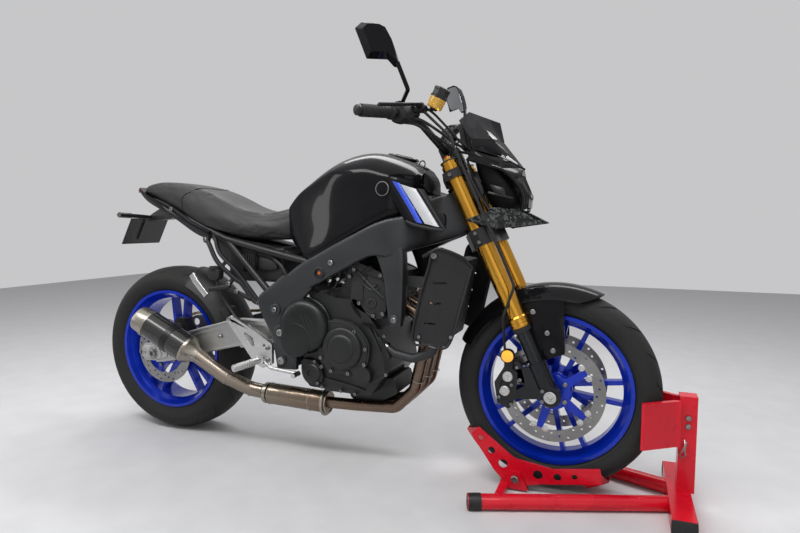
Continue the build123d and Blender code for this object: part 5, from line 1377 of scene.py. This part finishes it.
# %% Grips
grip_end, grip_in = np.array([-98.0, -388.0, 915.0]), np.array([-46.0, -258.0, 906.0])
grip_axis = unit(grip_in - grip_end)
steps = np.arange(0, 108, 3.0)
grip_profile = [(2, 0), (2, 15), (4, 17.2)] + [(6 + s, 17.5 if int(s / 6) % 2 else 16.8)
    for s in steps] + [(114, 20.5), (118, 21), (121, 20), (121, 0)]
weights = on_fork([turned([(-14, 0), (-14, 8), (-11, 12.5), (0, 13.5), (2, 13.5), (2, 0)], grip_end, grip_axis,
    30)])
pair("grips", on_fork([turned(grip_profile, grip_end, grip_axis, 36)]), rubber_black, "handlebar", smooth=30)
pair("bar_ends", weights, satin_black, "handlebar")

# %% [markdown]
# Inboard of each grip a moulded pod holds the switches, then a clamp carries the lever and the mirror stem. On
# the right the clamp also holds the brake pump, with its cup on a short arm that leans forward. Rounded boxes
# carried along the bar and a flat blade bent through four points give the same parts without a single sharp
# edge.

# %% Switch pods, clamps and levers
def along_bar(inward, n=0.0, s=0.0):
    """Point inward from the grip flange along the bar, then moved ahead and up in the fork frame."""
    return grip_in + inward * grip_axis + np.array([n, 0.0, s])


def pod(stations, power=4.0):
    """Loft along the bar of superellipses given as (inward, rear, front, low, high)."""
    rings = []
    for inward, rear, front, low, high in stations:
        box = soft_box(rear, front, low, high, power, 40)
        rings.append(along_bar(inward) + np.column_stack([box[:, 0], 0 * box[:, 0], box[:, 1]]))
    return loft(rings, 26, 40)


flat_blade = soft_box(-7.0, 7.0, -3.6, 3.6, 3.0, 20)
switch_pods = on_fork([pod([(0, -20, 21, -21, 21), (3, -23, 24, -25, 23), (22, -23, 25, -30, 24),
    (38, -22, 24, -28, 23), (42, -19, 20, -24, 20)]), pod([(8, -14, 12, 22, 31), (20, -16, 14, 22, 33),
    (34, -12, 10, 22, 30)]), turned([(0, 0), (0, 7), (6, 6.4), (7, 5), (7, 0)], along_bar(20, -22, 6),
    (-1, 0, 0.2), 20)])
clamps = on_fork([pod([(46, -20, 20, -20, 20), (48, -21, 22, -21, 21), (70, -21, 22, -21, 21),
    (72, -19, 20, -19, 20)], 2.4), pod([(50, 14, 44, -9, 9), (56, 14, 50, -11, 11), (66, 14, 44, -10, 10)]),
    turned([(-27, 0), (-27, 9), (-24, 12), (20, 12.4), (24, 10), (27, 6), (27, 0)], along_bar(66, 27, 0),
    (0.45, 0.88, -0.1), 30)])
cables = on_fork([hose([along_bar(36, 6, -24), (-2, -206, 868), (26, -150, 820), (40, -96, 786),
    (62, -60, 764)], 4.2, 50, 10), hose([along_bar(30, -8, -26), (-16, -210, 858), (14, -150, 806),
    (34, -92, 768), (62, -50, 748)], 4.2, 50, 10), hose([along_bar(84, 34, -2), (30, -162, 880),
    (42, -128, 836), (52, -92, 792), (66, -64, 758)], 3.6, 50, 10)])
pair("switch_pods", switch_pods, plastic_black, "bar_controls", replaces=True, smooth=35)
pair("bar_clamps", clamps, satin_black, "bar_controls", smooth=35)
pair("bar_levers", on_fork([carried(curve([along_bar(50, 40, 0), along_bar(30, 54, -3), along_bar(-10, 58, -6),
    along_bar(-70, 60, -12), along_bar(-134, 50, -10)], 44), flat_blade, upward),
    turned([(-7, 0), (-7, 7), (7, 7), (7, 0)], along_bar(46, 44, 0), upward, 20)]), satin_black, "bar_controls",
    smooth=35)
pair("bar_cables", cables, rubber_black, "bar_controls")

# %% Brake fluid cup
cup_foot, cup_lean = np.array([1088.0, -172.0, 1131.0]), (0.45, 0.0, 0.89)
cup_lid = [turned([(31, 23), (31, 26.4), (36, 26.8), (38, 24.6), (52, 24.6), (54, 26), (60, 25), (62, 22),
    (62, 0)], cup_foot, cup_lean, 8), turned([(-6, 0), (-6, 9), (1, 14), (1, 0)], cup_foot, cup_lean, 24),
    carried(curve([fork(along_bar(64, 12, 4)), fork(along_bar(74, 24, 6)), cup_foot + [-14, 2, -3],
    cup_foot + [0, 0, -3]], 24), flat_blade, upward)]
piece("fluid_cup", [turned([(0, 0), (0, 20), (3, 23.0), (30, 24.4), (32, 24), (32, 0)], cup_foot, cup_lean,
    40)], fluid_amber, "bar_controls")
piece("fluid_lid", cup_lid, satin_black, "bar_controls", smooth=30)
piece("bar_clamp_screws", on_fork(studs([(10, -28, 806), (10, 28, 806), (-20, -28, 806), (-20, 28, 806)], 5.5,
    6, (0.1, 0, 1))), bolt_steel, "yokes")

# %% [markdown]
# ## Wheel stand fittings
# The wheel stand is welded from red painted tube and folded plate. Black plastic caps close its open tube ends,
# a bright pin carries the rocker and a spring clip locks the post at its height.

# %% Stand caps, pins and clip
tube_foot, tube_head = np.array([1225.0, -255.0, 23.0]), np.array([1780.0, -46.0, 23.0])
cap_points, *cap_rest = turned([(-0.6, 0), (-0.6, 21), (0.6, 22.6), (3, 23.14), (38, 23.14), (38, 21.6)],
    tube_foot, unit(tube_head - tube_foot), 72)
on_floor = np.array([-np.inf, -np.inf, 0.0])
stand_caps = [(np.maximum(cap_points, on_floor), *cap_rest)]
bar_caps = [slab([(1749, 1), (1811, 1), (1811, 45), (1749, 45)], -186, -196.5, 3, 0.1)]
piece("stand_caps", both(stand_caps) + both(bar_caps), plastic_black, "stand_base")
pair("stand_pins", studs([(1330, -101, 40)], 12, 8, sides=6) + studs([(1795, -24, 238), (1795, -24, 262)], 8, 6,
    sides=6), bolt_steel, "stand_rocker", smooth=25)
piece("stand_clip", [hose([(1788, -26, 200), (1788, -34, 188), (1782, -38, 170), (1776, -34, 160),
    (1782, -30, 150), (1790, -34, 158), (1788, -36, 176), (1792, -30, 196)], 2, 80, 6, (1, 0.3, 0))],
    bolt_steel, "stand_post")

# %% [markdown]
# ## Mirrors
# The mirror shells are solid in the frame. The glass is a flat plate set into the side that faces the rider;
# its outline is the shell's own, drawn in a little, so it is written in the plane of the mirror.

# %% Mirror glass
mirror_mid = np.array([1000.0, -375.0, 1275.0])
mirror_u, mirror_w = np.array([0.783, 0.622, 0.0]), unit([0.621, -0.782, 0.05])
mirror_v = np.cross(mirror_w, mirror_u)
glass_outline = rounded([(-38, 46), (-57, 28), (-27, -48), (30, -45), (48, -63), (64, -64), (60, -40), (46, 0),
    (23, 39), (2, 47)], 0.25, 80)


def flat_plate(outline, depths, shrink):
    """Plate in the mirror's plane: the outline at several depths and scales, closed at both ends."""
    middle = outline.mean(0)
    rows = [(0.0, depths[0])] + list(zip(shrink, depths)) + [(0.0, depths[-1])]
    grid = []
    for scale, depth in rows:
        flat = middle + scale * (outline - middle)
        grid.append(mirror_mid + flat[:, :1] * mirror_u + flat[:, 1:] * mirror_v + depth * mirror_w)
    return patch(np.stack(grid), wrap_v=True)


pair("mirror_glasses", [flat_plate(glass_outline, [-10.0, -13.2, -13.6], [0.9, 0.9, 0.88])], mirror_glass,
    "mirrors")

# %% [markdown]
# ## Tail and hangers
# Under the seat the rails carry the passenger's pegs on slim cast hangers: two curved bars joined at both ends.
# A finned regulator and the rear brake's small reservoir sit behind them. A bar here is one soft section
# carried along a curve.

# %% Hangers and pegs
def bar(points, wide, thick, up=to_left, count=40):
    """Soft flat bar: a superellipse of the given width and thickness carried along a Catmull-Rom line."""
    return carried(curve(points, count), soft_box(-wide / 2, wide / 2, -thick / 2, thick / 2, 4.0, 20), up)


hangers = [bar([(226, -124, 744), (250, -136, 722), (292, -145, 662), (366, -150, 608), (398, -152, 590),
    (442, -154, 540), (470, -158, 528)], 15, 12), bar([(262, -126, 752), (276, -134, 738), (300, -142, 692),
    (366, -149, 640), (408, -153, 600), (446, -156, 560), (474, -159, 530)], 12, 12),
    bar([(360, -152, 604), (352, -158, 590), (348, -160, 574), (382, -158, 562), (436, -156, 540)], 14, 12),
    bar([(350, -158, 580), (322, -178, 576), (296, -200, 572)], 22, 16, upward),
    outward([(-8, 0), (-8, 13), (4, 13), (6, 11), (6, 0)], (228, -124, 740), 24)]
pair("peg_hangers", hangers, satin_black, "pillion_footrests", replaces=True, smooth=35)
pair("peg_blades", [bar([(250, -226, 624), (264, -226, 604), (284, -225, 580), (306, -222, 554)], 22, 11,
    to_left)], bright_metal, "pillion_footrests")
pair("hanger_screws", studs([(228, -130, 740), (354, -166, 591), (386, -165, 566), (474, -165, 530)], 8, 6)
    + studs([(54, -101, 848)], 8, 7, (0, -1, 0.1)), bolt_steel, "pillion_footrests")
regulator = [slab([(380, 690), (432, 694), (428, 632), (378, 634)], -96, -114, 3)]
regulator += [slab([(x, 692), (x + 3.2, 692), (x + 2.2, 632), (x - 1, 632)], -112, -124, 1, 0.2, 24)
    for x in np.arange(382, 430, 7.5)]
regulator += [slab([(436, 684), (500, 668), (516, 640), (440, 634)], -98, -110, 3),
    hose([(500, -108, 676), (536, -116, 650), (560, -118, 610)], 7, 30, 10, to_left)]
piece("regulator", regulator, plastic_black, "battery_box", smooth=35)
pot = [slab([(260, 640), (312, 640), (308, 600), (264, 600)], -138, -164, 4),
    turned([(0, 20), (8, 21), (10, 18), (10, 0)], (286, -151, 638), upward, 28),
    hose([(292, -150, 602), (300, -152, 570), (330, -150, 520), (380, -160, 470)], 5, 40, 10, to_left),
    bar([(300, -146, 640), (320, -140, 660)], 14, 6)]
piece("brake_pot", pot, plastic_black, "pillion_footrests", smooth=35)

# %% [markdown]
# The tail is a slim moulding with a keel line along each side, over an arm with the plate and its slender
# indicators. The plate is left blank, with its drain slots and fixing screws.

# %% Tail lines, plate and indicators
pair("tail_keel", [bar([(236, -119, 762), (160, -116, 792), (90, -110, 822), (20, -100, 852), (-40, -86, 878),
    (-100, -68, 900), (-150, -48, 924)], 12, 7)], gloss_black, "tail_cowl")
plate_lean = math.atan2(55, 104)
lean_cos, lean_sin = math.cos(plate_lean), math.sin(plate_lean)
plate_axis, plate_up = np.array([-lean_cos, 0, lean_sin]), np.array([lean_sin, 0, lean_cos])
plate_mid = np.array([-176.0, 0, 764.0])
plate_corners = [(-1, -1), (1, -1), (1, 1), (-1, 1), (-1, -1)]
plate_rim = [plate_mid + np.array([0, y * 93.0, 0]) + z * plate_up * 54 for y, z in plate_corners]
piece("plate_rim", [carried(np.array([plate_rim[k], plate_rim[k + 1]]), circle(2.2, 8), (0.9, 0, 0.3))
    for k in range(4)], satin_black, "plate_holder")
piece("plate_screws", studs([plate_mid + np.array([0, y, 0]) + z * plate_up + 2.0 * plate_axis
    for y in (-60, 60) for z in (-36, 36)], 5, 4, plate_axis), bolt_steel, "plate_holder")
pair("rear_signals", [bar([(-118, -34, 818), (-130, -84, 822), (-138, -120, 824), (-143, -150, 826),
    (-144, -157, 826)], 22, 15, upward)], satin_black, "plate_holder")
pair("signal_lenses", [bar([(-152, -112, 824), (-154, -140, 826), (-154, -152, 826)], 15, 6, upward, 16)],
    smoked_amber, "tail_lamp")

# %% [markdown]
# ## Swingarm and footrests
# The aluminium arm is pressed and welded: a ridge runs along its upper edge, a slot at the axle carries the
# chain adjuster block with its graduated plate, and a bright nut closes the axle. The heel plate is polished
# and drilled.

# %% Arm ridge, adjusters and axle nut
ridge = [bar([(560, -149, 468), (470, -150, 468), (371, -150, 463), (290, -150, 442), (200, -150, 416),
    (120, -150, 388), (60, -150, 362), (10, -150, 352)], 9, 7), bar([(560, -149, 412), (470, -150, 394),
    (371, -150, 375), (240, -150, 342), (150, -150, 316), (60, -150, 294), (10, -150, 286)], 8, 6),
    slab([(-56, 340), (52, 350), (62, 330), (60, 300), (-50, 288), (-60, 315)], -146, -153, 3),
    slab([(-34, 330), (34, 334), (36, 298), (-34, 298)], -150, -156, 2)]
pair("arm_ridges", ridge, swing_metal, "swingarm", smooth=35)
nuts = [outward([(0, 23), (5, 23), (7, 21), (7, 14), (12, 14), (13, 12), (13, 8), (2, 7), (2, 0)],
    rear_axle + [0, -151, 0], 30)]
adjust = [bar([(-36, -152, 315), (-66, -146, 315)], 9, 9), turned([(0, 9), (6, 9), (7, 7), (7, 0)],
    (-62, -147, 315), (-1, 0, 0), 6)]
arm_screws = studs([(520, -150, 444), (420, -150, 430), (300, -150, 400)], 6, 4)
piece("axle_nuts", both(nuts + adjust) + arm_screws, bolt_steel, "rear_axle", smooth=30)
heel = [slab([(356, 470), (378, 486), (470, 440), (534, 402), (536, 396), (472, 428), (382, 474)], -182, -187,
    2), slab([(470, 334), (500, 318), (534, 334), (534, 344), (500, 328), (478, 342)], -182, -187, 2),
    outward([(0, 16), (4, 16), (5, 14), (5, 0)], (489, -183, 341), 28)]
pair("heel_plates", heel, bright_metal, "rider_footrests", smooth=35)
pair("peg_rings", [turned([(-2, 11.1), (-2, 12.8), (2, 12.8), (2, 11.1)],
    (489 - 43 * t, -176 - 94 * t, 341 - 13 * t), (-0.41, -0.9, -0.12), 24) for t in np.linspace(0.3, 0.95, 9)],
    bright_metal, "rider_footrests")
pair("heel_screws", studs([(520, -184, 384), (520, -184, 344), (368, -184, 474)], 7, 6), bolt_steel,
    "rider_footrests")
piece("rear_piston", [outward([(0, 18), (8, 18), (10, 15), (10, 9), (6, 8), (6, 0)], rear_axle + [92, -115, 96],
    28)], satin_black, "rear_caliper")

# %% [markdown]
# A short mudguard hugs the rear tyre and is tied to the arm, and a dark tray closes the space under the seat.
# The guard uses the same arch formula as the one in front: a radius that falls away toward both edges.

# %% Rear guard and tray
piece("rear_guard", about((0, 0, 315), [arch(327, 96, 62, 16, 72, 0.10, 0.10, 4)])
    + [slab([(290, 430), (330, 440), (300, 500), (262, 490)], -60, -112, 4)], plastic_black, "hugger",
    replaces=True)
pair("under_tray", [slab([(216, 756), (300, 752), (556, 704), (560, 676), (312, 700), (300, 640), (262, 700)],
    -30, -96, 4)], plastic_black, "battery_box")

# %% [markdown]
# ## Floor, light and camera
# The machine stands on a plain pale floor under a wide ceiling lamp, as in a show room. Two overhead strips
# draw the long highlights on the gloss panels, a wide lamp beside the camera opens the shadows, and a narrow
# one behind draws a streak on the tank. The world is pale to the camera and to reflections. The camera was
# solved from measured points of the photograph, so its place, direction and focal length are known in
# millimetres.

# %% Floor and world
floor_finish = finish("floor_pale", (0.62, 0.62, 0.63), (0.66, 0.66, 0.67), (0.55, 0.65), grain=120, depth=0.03)
floor_half, floor_lines = 6.0, 9
floor_at = np.linspace(-floor_half, floor_half, floor_lines)
floor_grid = np.stack(np.meshgrid(floor_at, floor_at, [0.0], indexing="ij"), -1)[:, :, 0]
floor_mesh = bpy.data.meshes.new("floor")
floor_mesh.from_pydata(floor_grid.reshape(-1, 3), [], patch(floor_grid)[1])
floor_mesh.materials.append(floor_finish)
floor = bpy.data.objects.new("floor", floor_mesh)
bpy.context.scene.collection.objects.link(floor)

world = bpy.data.worlds.new("pale_room")
bpy.context.scene.world = world
world.use_nodes = True
tree = world.node_tree
background = tree.nodes["Background"]
paths = tree.nodes.new("ShaderNodeLightPath")
seen = paths.outputs["Is Camera Ray"]
for other in ("Is Glossy Ray", "Is Transmission Ray"):
    seen = arithmetic(tree, "MAXIMUM", seen, paths.outputs[other])
tree.links.new(mixed(tree, seen, (0.22, 0.22, 0.23, 1), (0.57, 0.57, 0.58, 1)), background.inputs["Color"])
set_inputs(background, {"Strength": 1.0})
print("floor", 2 * floor_half, "m wide, world", world.name)


# %% Lamps
def lamp(name, place_at, aim, size, power):
    """Rectangular soft lamp, turned so that its face looks at a point."""
    light = bpy.data.lights.new(name, "AREA")
    light.shape = "RECTANGLE"
    light.size, light.size_y = size
    light.energy = power
    obj = bpy.data.objects.new(name, light)
    z = -unit(np.subtract(aim, place_at))
    x = unit(np.cross([0.0, 1.0, 0.0], z))
    obj.matrix_world = Matrix(np.vstack([np.column_stack([x, np.cross(z, x), z, place_at]), [0, 0, 0, 1]]))
    bpy.context.scene.collection.objects.link(obj)


lamp("ceiling", (0.0, 0.01, 5.0), (0.0, 0.0, 0.0), (11.0, 11.0), 150)
lamp("strip_near", (-0.2, -1.5, 2.6), (0.0, 0.0, 0.5), (3.6, 0.5), 58)
lamp("strip_far", (0.1, 1.2, 2.7), (0.0, 0.0, 0.5), (3.6, 0.5), 42)
lamp("camera_fill", (1.6, -3.2, 1.5), (0.0, 0.0, 0.45), (4.6, 2.4), 18)
lamp("tail_fill", (-3.2, -1.8, 1.6), (-0.3, 0.0, 0.5), (1.8, 0.45), 11)
print("lamps", len(bpy.data.lights))

# %% Camera
camera_mm = np.array([1607.3, -1766.7, 802.6])
focal_px, photo_width, sensor_mm = 570.5, 800, 36.0
yaw, pitch, roll = (math.radians(a) for a in (21.277, 4.405, 0.286))
ahead = np.array([-math.sin(yaw) * math.cos(pitch), math.cos(yaw) * math.cos(pitch), -math.sin(pitch)])
right = np.array([math.cos(yaw), math.sin(yaw), 0.0])
above = np.cross(right, ahead)
right, above = right * math.cos(roll) + above * math.sin(roll), above * math.cos(roll) - right * math.sin(roll)
camera_data = bpy.data.cameras.new("photo_camera")
camera_data.sensor_width = sensor_mm
camera_data.lens = focal_px / photo_width * sensor_mm
camera = bpy.data.objects.new("photo_camera", camera_data)
camera.matrix_world = Matrix(np.vstack([np.column_stack([right, above, -ahead, place(camera_mm)]),
    [0, 0, 0, 1]]))
bpy.context.scene.collection.objects.link(camera)
bpy.context.scene.camera = camera
bpy.context.scene.view_settings.view_transform = "Standard"
print("camera at", place(camera_mm).round(3), "lens", round(camera_data.lens, 2))
